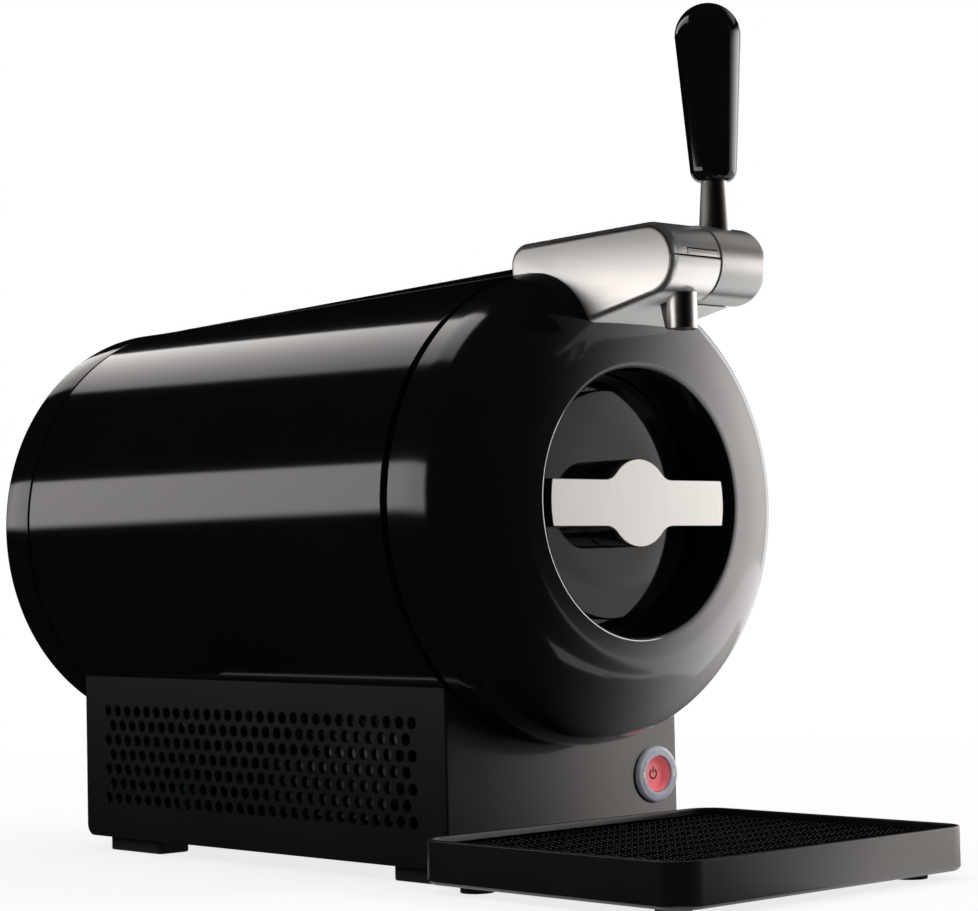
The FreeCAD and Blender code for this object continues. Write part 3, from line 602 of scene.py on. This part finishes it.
def make_cap():
    """Closed rear end: a spigot inside the sleeve, an open groove, an eased rim, a sunk end."""
    rim = (drum_end - cap_round, rear_radius - cap_round)
    spigot = rear_radius - shell_wall - 0.1
    profile = [(shell_rear, 0), (shell_rear, spigot - 3), (shell_rear - 5, spigot - 3),
               (shell_rear - 5, spigot), (shell_rear, spigot)]
    profile += arc((shell_rear + 0.4, rear_radius - 0.4), 0.4, 180, 90, 3)
    profile += arc(rim, cap_round, 90, 0, 8)
    profile += [(drum_end, 88), (drum_end - 0.8, 87.2), (drum_end - 0.8, 0)]
    return turn(profile, on_y(z=rear_axis_z), 240)


def make_spine():
    """Crowned strip along the top of the drum."""
    rear_top = drum_centre(spine_rear) + drum_reach(spine_rear) + 0.4
    front_top = axis_z + drum_radius + spine_rise
    crown = drum_radius + spine_rise
    sections = []
    for k in range(13):
        share = k / 12
        y = spine_front + (spine_rear - spine_front) * share
        top = front_top + (rear_top - front_top) * share
        line = []
        for n in range(33):
            x = spine_half_width * (n / 16 - 1)
            over = top - crown + math.sqrt(crown ** 2 - x ** 2)
            drum = drum_centre(y) + math.sqrt(drum_reach(y) ** 2 - x ** 2)
            rise = min(1.0, (spine_half_width - abs(x)) / 8)
            rise = 0.04 + 0.96 * rise ** 2 * (3 - 2 * rise)
            line.append(Vector((x, y, drum + (over - drum) * rise)))
        for n in range(32, -1, -1):
            x = spine_half_width * (n / 16 - 1)
            under = math.sqrt(drum_reach(y) ** 2 - x ** 2)
            line.append(Vector((x, y, drum_centre(y) + under - 0.4)))
        sections.append(line)
    return skin(sections, closed=False)


piece("drum_sleeve", make_sleeve(), ["main_shell"], ease=0.5)
piece("drum_rear_end", make_cap(), ["rear_cap"], ease=0.25, sharp=50)
piece("drum_top_strip", make_spine(), ["top_spine"], sharp=50, finish="gloss_black")


# ---- nose and door ----
def make_nose():
    """Round nose with room for its lip, a hollow behind and the tube's passage."""
    curve = arc((nose_front + nose_round, drum_radius - nose_round), nose_round, 90, 180, 44)
    lip_radius = mouth_radius + lip_round
    inner_radius = mouth_radius + 4
    hollow_front = nose_front + 12
    hollow = [(nose_back, inner_radius), (hollow_front, inner_radius), (hollow_front, 96),
              (nose_back - 18, 110.5), (nose_back, 112)]
    profile = [(nose_back, drum_radius - 0.6), (nose_back - 0.6, drum_radius)]
    profile += curve + [(nose_front, lip_radius), (lip_back, lip_radius),
                        (lip_back, mouth_radius), (nose_back, mouth_radius)] + hollow
    passage = block(tube_x - 6, tube_x + 6, -120, -108, axis_z + 60, 296)
    return carved(turn(profile, on_y(), drum_sides), [passage])


def make_lip():
    """Rolled lip of the nose's mouth."""
    profile = arc((nose_front + lip_round, mouth_radius + lip_round), lip_round, 180, 270, 12)
    profile += [(lip_back, mouth_radius), (lip_back, mouth_radius + lip_round)]
    return turn(profile, on_y(), drum_sides)


def make_disc():
    """Gloss door disc with a raised face, its shaft bore and a notch for the tube."""
    bore = 5.05
    back = disc_front + 2.8
    profile = [(pad_front, bore), (pad_front, 30)]
    profile += arc((pad_front + 0.9, pad_radius - 0.9), 0.9, 180, 90, 5)
    profile += [(disc_front + 0.9, pad_radius)]
    profile += arc((disc_front + 1.4, disc_radius - 0.5), 0.5, 180, 90, 5)
    profile += [(back, disc_radius), (back, bore)]
    notch = block(tube_x - 5, tube_x + 5, -108, -100, axis_z + 55, axis_z + 70)
    return carved(turn(profile, on_y(), 192), [notch])


nose = piece("nose_shell", make_nose(), ["nose_ring"], sharp=40, finish="nose_black")
lip = piece("mouth_lip", make_lip(), ["nose_ring"], sharp=40, finish="nose_black", stands=False)
piece("door_front_disc", make_disc(), ["door_disc"], sharp=40)
dressed("door_plug", "door_body", 0.3)
over_disc = block(-70, 70, -140, pad_front - 0.3, 140, 220)
piece("door_handle", carved(from_node("handle_body"), [over_disc], "INTERSECT"), ["handle_body"],
      ease=0.7, steps=3, turned=False, finish="gloss_black")
plate = dressed("handle_plate", "handle_face", 0.3, finish="plate_metal")


# ---- tap ----
def tap_outline(inset):
    """Side view of the tap as (y, z): barrel, level top, round rear, sloping underside."""
    radius = barrel_radius - inset
    top_tilt = math.degrees(math.atan2(barrel_z + barrel_radius - arm_top_rear_z, 78))
    low_angle = -90 - math.degrees(math.atan(arm_slope))
    front = arc((barrel_y, barrel_z), radius, 360 + low_angle, 90 - top_tilt, 56)
    end_y = arm_rear - inset
    bend = 10.0 - inset
    rear = arc((end_y - bend, arm_top_rear_z - inset - bend), bend, 90, 0, 12)
    low_y = nose_front + 14
    under = front[0][1] - arm_slope * (low_y - front[0][0])
    return front + rear + [(end_y, 240.0), (low_y, 240.0), (low_y, under)]


def softened_tap():
    """The tap's full body with both side edges rounded over."""
    sections = []
    for side in (-1, 1):
        places = [math.radians(90 * k / 7) for k in range(8)]
        if side < 0:
            places.reverse()
        for angle in places:
            x = side * (arm_half_width + 0.01 - arm_round * (1 - math.sin(angle)))
            inset = arm_round * (1 - math.cos(angle)) - 0.02
            sections.append([Vector((x, y, z)) for y, z in tap_outline(inset)])
    return skin(sections, closed=False)


def make_barrel_end():
    """Turning end of the barrel, softly rounded outside."""
    bore = 4.02
    bore_end = end_inner_x + 11.5
    rounding = 4.5
    profile = [(end_inner_x, bore), (end_inner_x, end_radius - 0.5),
               (end_inner_x + 0.5, end_radius)]
    profile += arc((end_outer_x - rounding, end_radius - rounding), rounding, 90, 0, 12)
    profile += [(end_outer_x, 0), (bore_end, 0), (bore_end, bore)]
    return turn(profile, on_barrel, 128)


def make_stem():
    """Tapered stem, seated in the barrel's turning end."""
    narrowing = stem_base_radius - stem_top_radius
    top = grip_bottom + 0.1
    profile = [(stem_foot_z, 0)]
    profile += [(stem_foot_z + (top - stem_foot_z) * k / 6, stem_base_radius - narrowing * k / 6)
                for k in range(7)]
    profile += [(top, 0)]
    return turn(profile, upright(lever_x, barrel_y))


def make_grip():
    """Turned grip: round foot, straight taper, round dome."""
    foot = grip_bottom + 0.1
    widest = grip_top - grip_radius
    foot_rise = 6.4
    foot_round = 5
    taper_foot = foot + foot_rise
    profile = [(foot, 0)]
    for k in range(9):
        lean = 0.5 * math.pi * k / 8
        profile.append((taper_foot - foot_rise * math.cos(lean),
                        grip_foot_radius - foot_round * (1 - math.sin(lean))))
    for k in range(1, 13):
        profile.append((taper_foot + (widest - taper_foot) * k / 12,
                        grip_foot_radius + (grip_radius - grip_foot_radius) * k / 12))
    for k in range(1, 17):
        lean = 0.5 * math.pi * k / 16
        profile.append((widest + grip_radius * math.sin(lean),
                        grip_radius * math.cos(lean) if k < 16 else 0))
    return turn(profile, on_grip)


def make_spout():
    """Round spout with an eased tip, wider at its mouth."""
    tip = spout_tip_z
    profile = [(spout_top_z, spout_bore), (spout_top_z, spout_radius)]
    profile += arc((tip + 0.5, spout_radius - 0.5), 0.5, 90, 180, 4)
    profile += [(tip, spout_mouth + 0.25), (tip + 0.25, spout_mouth), (tip + 6, spout_mouth),
                (tip + 6, spout_bore)]
    return turn(profile, upright(tube_x, spout_y))


def make_web():
    """Thin web between the spout and the underside of the tap."""
    near, far = spout_y + 6.3, spout_y + 13.2
    outline = [(near, spout_tip_z + 0.8), (spout_y + 9.9, spout_tip_z + 1.2), (far, 269.0),
               (far, spout_top_z), (near, spout_top_z)]
    return drawn(outline, lambda y, z, x: Vector((x, y, z)), tube_x - 1.5, tube_x + 1.5)


notch_left = tube_x - 7.2
notch_right = end_inner_x - 1.8
parting_z = 287.3
notch_z = 290.8
front_slab = (-190, -180)      # y range that takes in the skin of the barrel's front
line_boxes = {                 # x0, x1, z0, z1 of the open lines on the barrel's front
    "parting": (-28.6, end_inner_x, parting_z - 0.4, parting_z + 0.4),
    "notch_top": (notch_left - 0.3, notch_right, notch_z - 0.3, notch_z + 0.3),
    "notch_side": (notch_left - 0.3, notch_left + 0.3, parting_z + 0.4, notch_z - 0.3),
}


def parting_cuts():
    """Open line between lid and housing, and the sunk outline of the finger notch."""
    front = barrel_y - barrel_radius
    return [block(x0, x1, front - 3, front + 1.5, z0, z1)
            for x0, x1, z0, z1 in line_boxes.values()]


def barrel_sector(x0, x1, sunk, depth, z0, z1):
    """Piece of the barrel's front between two levels, from so far below its skin to so deep."""
    inner, outer = barrel_radius - depth, barrel_radius - sunk
    ring = turn([(x0, inner), (x0, outer), (x1, outer), (x1, inner)], on_barrel, 224)
    return carved(ring, [block(x0 - 1, x1 + 1, *front_slab, z0, z1)], "INTERSECT")


def painted_shade_strip(name):
    """Black strip at the bottom of an open line: painted shade, standing in for the shade deep in
    the narrow gap.
    """
    x0, x1, z0, z1 = line_boxes[name]
    return barrel_sector(x0, x1, 0.22, 1.6, z0, z1)


def notch_tongue():
    """Flush tongue of the finger notch."""
    half_width = 11.2
    return barrel_sector(tube_x - half_width, tube_x + half_width, 0, 1.7, 287.4, 291.3)


def tap_piece(name, node, shape, cuts, finish):
    """A piece of the tap, held within the tap's softened body."""
    body = carved(shape, [softened_tap()], "INTERSECT")
    return piece(name, carved(body, cuts) if cuts else body, [node], ease=0.12, turned=False,
                 finish=finish)


lid_shape = carved(from_node("tap_lid"), [notch_tongue()], "UNION")
tap_pieces = [
    tap_piece("tap_housing", "tap_arm", from_node("tap_arm"), parting_cuts(), "turned_metal"),
    tap_piece("tap_lid_shell", "tap_lid", lid_shape, parting_cuts(), "turned_metal"),
]
# Black strips in the open lines, in the rubber finish: painted shade, standing in for the shade
# deep in the gaps.
for name, node in (("parting", "tap_arm"), ("notch_top", "tap_lid"), ("notch_side", "tap_lid")):
    piece(name + "_painted_shade", painted_shade_strip(name), [node], finish="rubber", stands=False)
for side in ("left", "right"):
    cheek = "cheek_plate_" + side
    tap_pieces.append(tap_piece(side + "_cheek", cheek, from_node(cheek), [], "cheek_metal"))
turning_end = piece("barrel_turning_end", make_barrel_end(), ["barrel_end"], finish="turned_metal")
piece("tap_spout", make_spout(), ["spout"], sharp=40, finish="upright_metal")
piece("spout_web", make_web(), ["spout"], ease=0.7, steps=3, finish="satin_black",
      stands=False)
piece("stem", make_stem(), ["lever_stem"], sharp=40, finish="upright_metal")
piece("grip", make_grip(), ["lever_grip"], sharp=50)


# ---- base ----
grid_sockets = {"Geometry": "Geometry", "First Point": "Vector", "Column Pitch": "Float",
                "Row Pitch": "Float", "Columns": "Int", "Rows": "Int", "Finish": "Material"}


def new_tree(name, sockets):
    """Empty Geometry Nodes tree with a grid's inputs and more, by name and kind."""
    tree = bpy.data.node_groups.new(name, "GeometryNodeTree")
    graph = Graph(tree)
    tree.interface.new_socket("Geometry", in_out="OUTPUT", socket_type="NodeSocketGeometry")
    for label, kind in (grid_sockets | sockets).items():
        tree.interface.new_socket(label, in_out="INPUT", socket_type="NodeSocket" + kind)
    return graph, graph.node("NodeGroupInput")


def staggered_grid(graph, given, along, across, sense):
    """Points in rows that run along one axis and follow each other across it."""
    columns = given["Columns"]
    order = graph.node("GeometryNodeInputIndex")
    row = order // columns
    column = order % columns
    step = graph.vector(**{
        along: (column + (row % 2) * 0.5) * given["Column Pitch"],
        across: row * given["Row Pitch"] * sense})
    place = graph.node("ShaderNodeVectorMath", {0: given["First Point"], 1: step},
                       operation="ADD")
    points = graph.node("GeometryNodePoints",
                        {"Count": columns * given["Rows"], "Position": place})
    return points, place, row, column


def without(graph, geometry, chosen):
    """Geometry without its chosen points."""
    return graph.node("GeometryNodeDeleteGeometry",
                      {"Geometry": geometry, "Selection": chosen}, domain="POINT")


def copied(graph, points, thing, **sockets):
    """A copy of a thing on each point, made real."""
    copies = graph.node("GeometryNodeInstanceOnPoints",
                        {"Points": points, "Instance": thing, **sockets})
    return graph.node("GeometryNodeRealizeInstances", {"Geometry": copies})


def own_height(graph):
    """Height of each point of the geometry at hand."""
    return graph.axis(graph.node("GeometryNodeInputPosition"), "Z")


def end_tree(graph, given, geometry):
    """Close a tree: what it made takes the given finish."""
    geometry = graph.node("GeometryNodeSetMaterial",
                          {"Geometry": geometry, "Material": given["Finish"]})
    graph.node("NodeGroupOutput", {"Geometry": geometry})
    return graph


def run_tree(graph, shape, values):
    """Apply a tree to a shape; the values go in by the sockets' identifiers."""
    carrier = loose(shape, "carrier")
    carrier.data.transform(Matrix.Scale(MM, 4))
    growth = carrier.modifiers.new("pattern", "NODES")
    growth.node_group = graph.tree
    for item in graph.tree.interface.items_tree:
        if item.in_out == "INPUT" and item.name in values:
            growth[item.identifier] = values[item.name]
    return settled(carrier)


def perforation_tree():
    """Staggered round holes with a flared mouth, cut out of an upright side wall."""
    graph, given = new_tree("perforation", {
        "Hole Radius": "Float", "Flare": "Float", "Depth": "Float", "Lean": "Float"})
    points, _, row, column = staggered_grid(graph, given, "Y", "Z", -1)
    points = without(graph, points, (column + 1.5 > given["Columns"]) * (row % 2))
    drill = graph.node("GeometryNodeMeshCylinder", {
        "Vertices": 20, "Side Segments": 2, "Radius": given["Hole Radius"],
        "Depth": given["Flare"] * 4})
    height = own_height(graph)
    drill = graph.node("GeometryNodeSetPosition", {
        "Geometry": drill, "Selection": height < -0.00001,
        "Offset": graph.vector(Z=given["Depth"] * -1)})
    wide = 1 + given["Flare"] * 2 / given["Hole Radius"]
    splayed = graph.node("ShaderNodeVectorMath", {
        0: graph.node("GeometryNodeInputPosition"),
        1: graph.vector(X=wide, Y=wide, Z=1.0)}, operation="MULTIPLY")
    drill = graph.node("GeometryNodeSetPosition", {
        "Geometry": drill, "Selection": height > 0.00001, "Position": splayed})
    drills = copied(graph, points, drill, Rotation=graph.vector(Y=given["Lean"]))
    holed = graph.node("GeometryNodeMeshBoolean", {"Mesh 1": given["Geometry"], "Mesh 2": drills},
                       operation="DIFFERENCE", solver="EXACT")
    holed = graph.node("GeometryNodeRealizeInstances", {"Geometry": holed})
    return end_tree(graph, given, holed)


def side_wall(side):
    """Side of the base before it is perforated; its top follows the drum."""
    front = shell_front + base_wall + 0.1
    sections = []
    for x in (side * (base_half_width - base_wall), side * base_half_width):
        line = [Vector((x, front, base_bottom))]
        line += [Vector((x, y, z)) for y, z in
                 arc((base_rear - base_corner, base_bottom + base_corner), base_corner, -90, 0, 8)]
        for k in range(7):
            y = base_rear + (front - base_rear) * k / 6
            under = drum_centre(y) - math.sqrt(drum_reach(y) ** 2 - x ** 2)
            line.append(Vector((x, y, under - 0.1)))
        sections.append(line)
    return skin(sections, closed=False)


both_sides = ((-1, "left"), (1, "right"))
perforation = perforation_tree()
vent_pitch = (vent_last_y - vent_first_y) / (vent_columns - 1)
flare = 0.35
for side, label in both_sides:
    holed = run_tree(perforation, side_wall(side), {
        "First Point": (side * (base_half_width - flare) * MM, vent_first_y * MM, vent_top_z * MM),
        "Column Pitch": vent_pitch * MM,
        "Row Pitch": vent_row_pitch * MM,
        "Columns": vent_columns,
        "Rows": vent_rows,
        "Hole Radius": vent_radius * MM,
        "Flare": flare * MM,
        "Depth": 4 * MM,
        "Lean": side * math.pi / 2,
        "Finish": finishes["base_black"],
    })
    fit_out("vented_side_" + label, holed, "base_black", "housing",
            ["side_panel_" + label], 32, 0)
front = dressed("base_front", "base_front_panel", 0.5)
dressed("base_rear", "base_rear_panel", 0.4)
for node in ("foot_front_left", "foot_front_right", "foot_rear_left", "foot_rear_right"):
    dressed("rubber_" + node, node, 0.9)


# ---- power button ----
def make_clear_ring():
    """Thick clear ring: dished face with a turned line, and a sleeve through the panel."""
    front = ring_front
    bore = button_radius + 0.3
    sleeve = 12.8
    profile = arc((front + 0.5, bore + 0.5), 0.5, 270, 180, 4)
    profile += [(front + 0.1, 11.2), (front + 0.35, 11.3), (front + 0.35, 11.55),
                (front + 0.15, 11.65), (front + 0.3, 12.7)]
    profile += arc((front + 1.6, 12.7), 1.3, 180, 90, 6)
    profile += [(shell_front - 0.05, 14.0), (shell_front - 0.05, sleeve),
                (shell_front + 8, sleeve), (shell_front + 8, bore)]
    return turn(profile, on_y(button_x, button_z))


def make_ring_tab(side):
    """Small flat tab on the ring's face."""
    x = button_x + side * 10.7
    return block(x - 1.0, x + 1.0, ring_front - 0.02, ring_front + 1.2,
                 button_z - 1.9, button_z + 1.9)


def cup_floor(away):
    """Level of the button's sunk, slightly domed face."""
    return button_front + cup_depth - 0.35 * (1 - (away / cup_radius) ** 2)


def make_button():
    """Round button, sunk like a shallow cup."""
    profile = [(cup_floor(cup_radius * k / 6), cup_radius * k / 6) for k in range(7)]
    profile += [(cup_floor(cup_radius) - 0.15, cup_radius + 0.15),
                (button_front + 0.25, cup_radius + 0.4)]
    profile += arc((button_front + 0.3, button_radius - 0.3), 0.3, 180, 90, 4)
    profile += [(shell_front + 5.5, button_radius), (shell_front + 5.5, 0)]
    return turn(profile, on_y(button_x, button_z))


def make_power_sign():
    """Generic power sign: an open ring and an upright bar, printed on the face."""
    def dish(x, z, lift):
        return Vector((button_x + x, cup_floor(math.hypot(x, z)) - lift, button_z + z))

    sign = bmesh.new()
    outer, inner, half_bar = 2.8, 1.9, 0.45
    ring = [math.radians(120 + 300 * k / 28) for k in range(29)]
    strips = [[(outer * math.cos(a), outer * math.sin(a), inner * math.cos(a), inner * math.sin(a))
               for a in ring],
              [(-half_bar, 0.5 + 0.8 * k, half_bar, 0.5 + 0.8 * k) for k in range(5)]]
    for strip in strips:
        rows = [[dish(a, b, 0.07), dish(c, d, 0.07), dish(c, d, 0.0), dish(a, b, 0.0)]
                for a, b, c, d in strip]
        mesh = mesh_of("strip", skin(rows, closed=False))
        sign.from_mesh(mesh)
        bpy.data.meshes.remove(mesh)
    return sign


piece("clear_ring", make_clear_ring(), ["button_ring"], sharp=50)
# The ring's tabs take the white acetal finish: a painted highlight, standing in for the light that
# the ring's clips catch.
for side, label in both_sides:
    piece("painted_highlight_tab_" + label, make_ring_tab(side), ["button_ring"], ease=0.25,
          finish="acetal", stands=False)
piece("red_button", make_button(), ["power_button"], sharp=50)
piece("power_sign", make_power_sign(), ["power_button"], sharp=40, finish="print_maroon",
      stands=False, slot="satin_black")


# ---- drip tray ----
def stud_tree():
    """Staggered domed studs on a plate, left out where the drain slots are."""
    graph, given = new_tree("studs", {
        "Stud Radius": "Float", "Stud Height": "Float", "Slot Every": "Int",
        "Slot Pitch": "Float", "Slot Reach": "Float"})
    points, place, row, _ = staggered_grid(graph, given, "X", "Y", 1)
    pitch = given["Slot Pitch"]
    off_slot = abs((graph.axis(place) + pitch * 0.5) % pitch - pitch * 0.5)
    on_slot = (off_slot < given["Slot Reach"]) * (row % given["Slot Every"] < 0.5)
    dome = graph.node("GeometryNodeMeshUVSphere",
                      {"Segments": 8, "Rings": 6, "Radius": given["Stud Radius"]})
    dome = without(graph, dome, own_height(graph) < -0.0003)
    stretch = graph.vector(X=1.0, Y=1.0, Z=given["Stud Height"] / given["Stud Radius"])
    studs = copied(graph, without(graph, points, on_slot), dome, Scale=stretch)
    return end_tree(graph, given, studs)


tray = dressed("tray", "drip_tray", 0.6, steps=3)
dressed("grate", "drip_grate", 0.25, finish="grate_black")
unused_block = block(-1, 1, -200, -199, 21, 21.5)      # only carries the tree
studs = run_tree(stud_tree(), unused_block, {
    "First Point": (stud_first_x * MM, stud_first_y * MM, grate_top * MM),
    "Column Pitch": stud_pitch * MM,
    "Row Pitch": stud_row_pitch * MM,
    "Columns": 46,
    "Rows": 38,
    "Stud Radius": 0.55 * MM,
    "Stud Height": 0.6 * MM,
    "Slot Every": slot_every,
    "Slot Pitch": 34 * MM,
    "Slot Reach": 15.4 * MM,
    "Finish": finishes["stud_black"],
})
fit_out("grate_studs", studs, "stud_black", "grate", [], 60, 0)


# ---- room, light and camera ----
ray_kinds = ("camera", "diffuse", "glossy", "transmission", "volume_scatter", "shadow")
room_left, room_right = -2600, 2800
room_front, room_back = -3600, 3600
room_top = 2400
card_x = 1900                  # the soft cards hang here, in front of the room's right side
flag_z = 0.4


def direct_ray(graph):
    """1 for rays that come straight, off gloss or through clear plastic; 0 for the others."""
    path = graph.node("ShaderNodeLightPath")
    direct = path.maths("MAXIMUM", path["Is Glossy Ray"])
    return direct.maths("MAXIMUM", path["Is Transmission Ray"])


def light_world():
    """White surroundings, dimmer for the rays that only light the object."""
    world = bpy.data.worlds.new("studio")
    bpy.context.scene.world = world
    world.use_nodes = True
    sky = Graph(world.node_tree)
    level = 0.45 + direct_ray(sky) * 0.55
    glow = sky.node("ShaderNodeBackground", {"Color": (1, 1, 1, 1), "Strength": level})
    sky.node("ShaderNodeOutputWorld", {"Surface": glow})


def flat(x0, x1, y0, y1, z):
    """Corners of a card that lies flat."""
    return [(x0, y0, z), (x1, y0, z), (x1, y1, z), (x0, y1, z)]


def wall(start, end, z0=0, z1=room_top):
    """Corners of a card that stands upright between two places on the floor."""
    return [(*start, z0), (*end, z0), (*end, z1), (*start, z1)]


def stage_card(name, corners, material, rays=("glossy",)):
    """A flat card of the studio, seen only by the named kinds of ray."""
    mesh = bpy.data.meshes.new(name)
    mesh.from_pydata([Vector(corner) * MM for corner in corners], [], [(0, 1, 2, 3)])
    spread = mesh.uv_layers.new(name="card")
    for loop, uv in zip(spread.data, ((0, 0), (1, 0), (1, 1), (0, 1))):
        loop.uv = uv
    mesh.materials.append(material)
    card = placed(name, mesh)
    for kind in ray_kinds:
        setattr(card, "visible_" + kind, kind in rays)
    return card


def floor_material():
    """Pale floor that keeps a faint shadow near the object and fades to white."""
    coat = Coat("floor")
    spot = coat.node("ShaderNodeTexCoord", out="Object")
    away = coat.node("ShaderNodeVectorMath", {0: spot}, "Value", operation="LENGTH")
    share = coat.ramp(away, 0.3, 1.1, 0.8, 1.0, "SMOOTHSTEP")
    matt = coat.node("ShaderNodeBsdfDiffuse", {"Color": (0.95, 0.95, 0.95, 1)})
    white = coat.node("ShaderNodeEmission", {"Color": (1, 1, 1, 1), "Strength": 1.0})
    return coat.surface(coat.node("ShaderNodeMixShader",
                                  {0: direct_ray(coat) * share, 1: matt, 2: white}))


def card_material(name, levels, axis, fades):
    """Light from a card: levels along one axis of its map, with soft edges all round."""
    coat = Coat(name)
    spot = coat.node("ShaderNodeTexCoord", out="UV")
    across, up = coat.axis(spot, "X"), coat.axis(spot, "Y")
    strength = levels[0][1]
    for (first, start), (last, end) in zip(levels, levels[1:]):
        strength = strength + coat.ramp(coat.axis(spot, axis), first, last, 0.0, end - start)
    for edge, width in zip((across, 1 - across, up, 1 - up), fades):
        if width:
            strength = strength * coat.ramp(edge, 0.0, width, kind="SMOOTHSTEP")
    return coat.surface(coat.node("ShaderNodeEmission",
                                  {"Color": (1, 0.96, 0.94, 1), "Strength": strength}))


def black_material():
    """Black cloth of the flags."""
    coat = Coat("black_flag")
    return coat.surface(coat.node("ShaderNodeBsdfDiffuse",
                                  {"Color": (0.002, 0.002, 0.002, 1)}))


def group_of(name, pieces):
    """A collection of pieces, for a light to be linked to."""
    group = bpy.data.collections.new(name)
    for one in pieces:
        group.objects.link(one)
    return group


light_world()
stage_card("floor", flat(-9000, 9000, -9000, 9000, 0), floor_material(), ray_kinds)
front_corner = (card_x, room_front)
slant_start = (card_x, -2600)
near_corner = (260, -345, flag_z)
flags = {
    "left": wall((room_left, room_front), (room_left, room_back)),
    "back": wall((room_left, room_back), (2400, room_back)),
    "corner": wall((2400, room_back), (room_right, 1500)),
    "front": wall((room_left, room_front), front_corner),
    "top": flat(room_left, room_right, room_front, room_back, room_top),
    "right": wall((room_right, room_front), (room_right, 1500), 1300),
    "floor": flat(room_left, -101, room_front, room_back, flag_z),
    "floor_side": flat(-101, -79, -76, room_back, flag_z),
    "front_right": wall(front_corner, slant_start),
    "floor_front": [(-101, room_front, flag_z), (*front_corner, flag_z),
                    near_corner, (-101, -345, flag_z)],
    "floor_slant": [(*front_corner, flag_z), (*slant_start, flag_z),
                    (270, -359, flag_z), near_corner],
    "floor_tray": flat(-101, 5, -345, -247, flag_z),
    "floor_right": flat(112, 240, -300, -170, flag_z),
    "floor_far": flat(112, 620, -170, 190, flag_z),
    "floor_rear": flat(-79, 130, 221, room_back, flag_z),
}
flag = black_material()
for name, corners in flags.items():
    stage_card("flag_" + name, corners, flag)
cards = {                      # corners, levels, their axis, soft edges, pieces left out
    "strip_top": ([(-331, 82, 700), (-76, 64, 700), (330, 1150, 700), (-20, 1150, 700)],
                  [(0.0, 0.9), (1.0, 2.7)], "X", (0.1, 0, 0.02, 0.02), tap_pieces),
    "strip_side": ([(-500, 1400, 194), (-500, -62, 146), (-500, -47, 324), (-500, 1400, 483)],
                   [(0.0, 0.0), (0.35, 2.6), (1.0, 3.1)], "X", (0, 0.03, 0.2, 0.05), []),
    "soft_right": (wall(slant_start, (card_x, 400), 0, 1100),
                   [(0.0, 0.75), (0.133, 0.8), (0.2, 1.0), (0.26, 1.25), (0.54, 3.5),
                    (0.85, 3.5), (1.0, 0.0)], "X", (0, 0, 0, 0.4), [nose, lip]),
    "soft_high": (wall((card_x, -1100), (card_x, 700), 1250, 2350),
                  [(0.0, 0.6), (0.5, 0.55), (1.0, 0.1)], "Y", (0.2, 0.2, 0.1, 0), [nose, lip]),
}
for name, (corners, levels, axis, fades, left_out) in cards.items():
    card = stage_card(name, corners, card_material(name, levels, axis, fades))
    if left_out:
        apart = group_of("not_lit_by_" + name, left_out)
        for link in apart.collection_objects:
            link.light_linking.link_state = "EXCLUDE"
        card.light_linking.receiver_collection = apart


def hang(light, place, way, lit, glossy):
    """Hang a lamp that shines one way, and keep it to the given pieces if there are any."""
    thing = placed(light.name, light)
    thing.location = place
    thing.rotation_euler = way.to_track_quat("-Z", "Y").to_euler()
    thing.visible_glossy = glossy
    if lit:
        thing.light_linking.receiver_collection = group_of("lit_by_" + light.name, lit)
    return thing


def lamp(name, place, aim, size, power, lit=()):
    """Soft lamp, so wide and so tall. One that is kept to some pieces also shows in their gloss."""
    light = bpy.data.lights.new(name, "AREA")
    light.shape = "RECTANGLE"
    light.size, light.size_y = size
    light.energy = power
    return hang(light, place, Vector(aim) - Vector(place), lit, bool(lit))


def accent(name, height, edge, power, lit):
    """Spot lamp for some pieces. Its cone ends at the named point, with a wide soft edge."""
    cone = 60
    place = Vector((0.85, -0.984, height))
    light = bpy.data.lights.new(name, "SPOT")
    light.spot_size = math.radians(cone)
    light.spot_blend = 0.26
    light.shadow_soft_size = 0.05
    light.energy = power
    light.color = (1, 0.96, 0.94)
    way = Vector(edge) - place
    way.rotate(Matrix.Rotation(math.radians(-cone / 2), 3, "Z"))
    hang(light, place, way, lit, False)


lamp("key", (1.5, -1.7, 1.5), (0, 0, 0.15), (1.0, 1.0), 26)
lamp("fill", (-0.4, 0.3, 2.2), (0, 0, 0.15), (1.4, 1.4), 22)
table_glow = lamp("table_glow", (0.6, -0.83, 0.03), (0.6, -0.83, 1), (0.9, 1.5), 4.2,
                  tap_pieces[:2])
table_glow.rotation_euler = (math.pi, 0, math.radians(42.7))
lamp("front_glow", (0, -3, 0.9), (0, 0, 0.25), (2.2, 1.8), 10, [plate, turning_end] + tap_pieces)
lamp("lip_glow", (1.2, -0.3, 0.6), (-0.06, -0.134, 0.177), (0.3, 1.6), 15, [lip])
accent("nose_light", 0.25, (-0.018, -0.134, 0.18), 12900, [nose, lip])
accent("front_light", 0.25, (-0.034, -0.077, 0.05), 3000, [front])
accent("tray_light", 0.02, (-0.05, -0.244, 0.015), 3100, [tray])

view_width = 978
focal_pixels = 2567.12
camera_place = (-873.39, -973.36, 142.71)
turn_z, lift, roll = math.radians(-42.71), math.radians(2.75), math.radians(-1.22)
camera_data = bpy.data.cameras.new("camera")
camera_data.sensor_fit = "HORIZONTAL"
camera_data.sensor_width = 36.0
camera_data.lens = focal_pixels / view_width * camera_data.sensor_width
camera = placed("camera", camera_data)
view = Vector((-math.sin(turn_z) * math.cos(lift), math.cos(turn_z) * math.cos(lift),
               math.sin(lift)))
right = Vector((math.cos(turn_z), math.sin(turn_z), 0))
up = right.cross(view)
tilted_right = right * math.cos(roll) + up * math.sin(roll)
tilted_up = up * math.cos(roll) - right * math.sin(roll)
turned_axes = Matrix((tilted_right, tilted_up, -view)).transposed().to_4x4()
camera.matrix_world = Matrix.Translation(Vector(camera_place) * MM) @ turned_axes
bpy.context.scene.camera = camera
bpy.context.scene.view_settings.view_transform = "Standard"
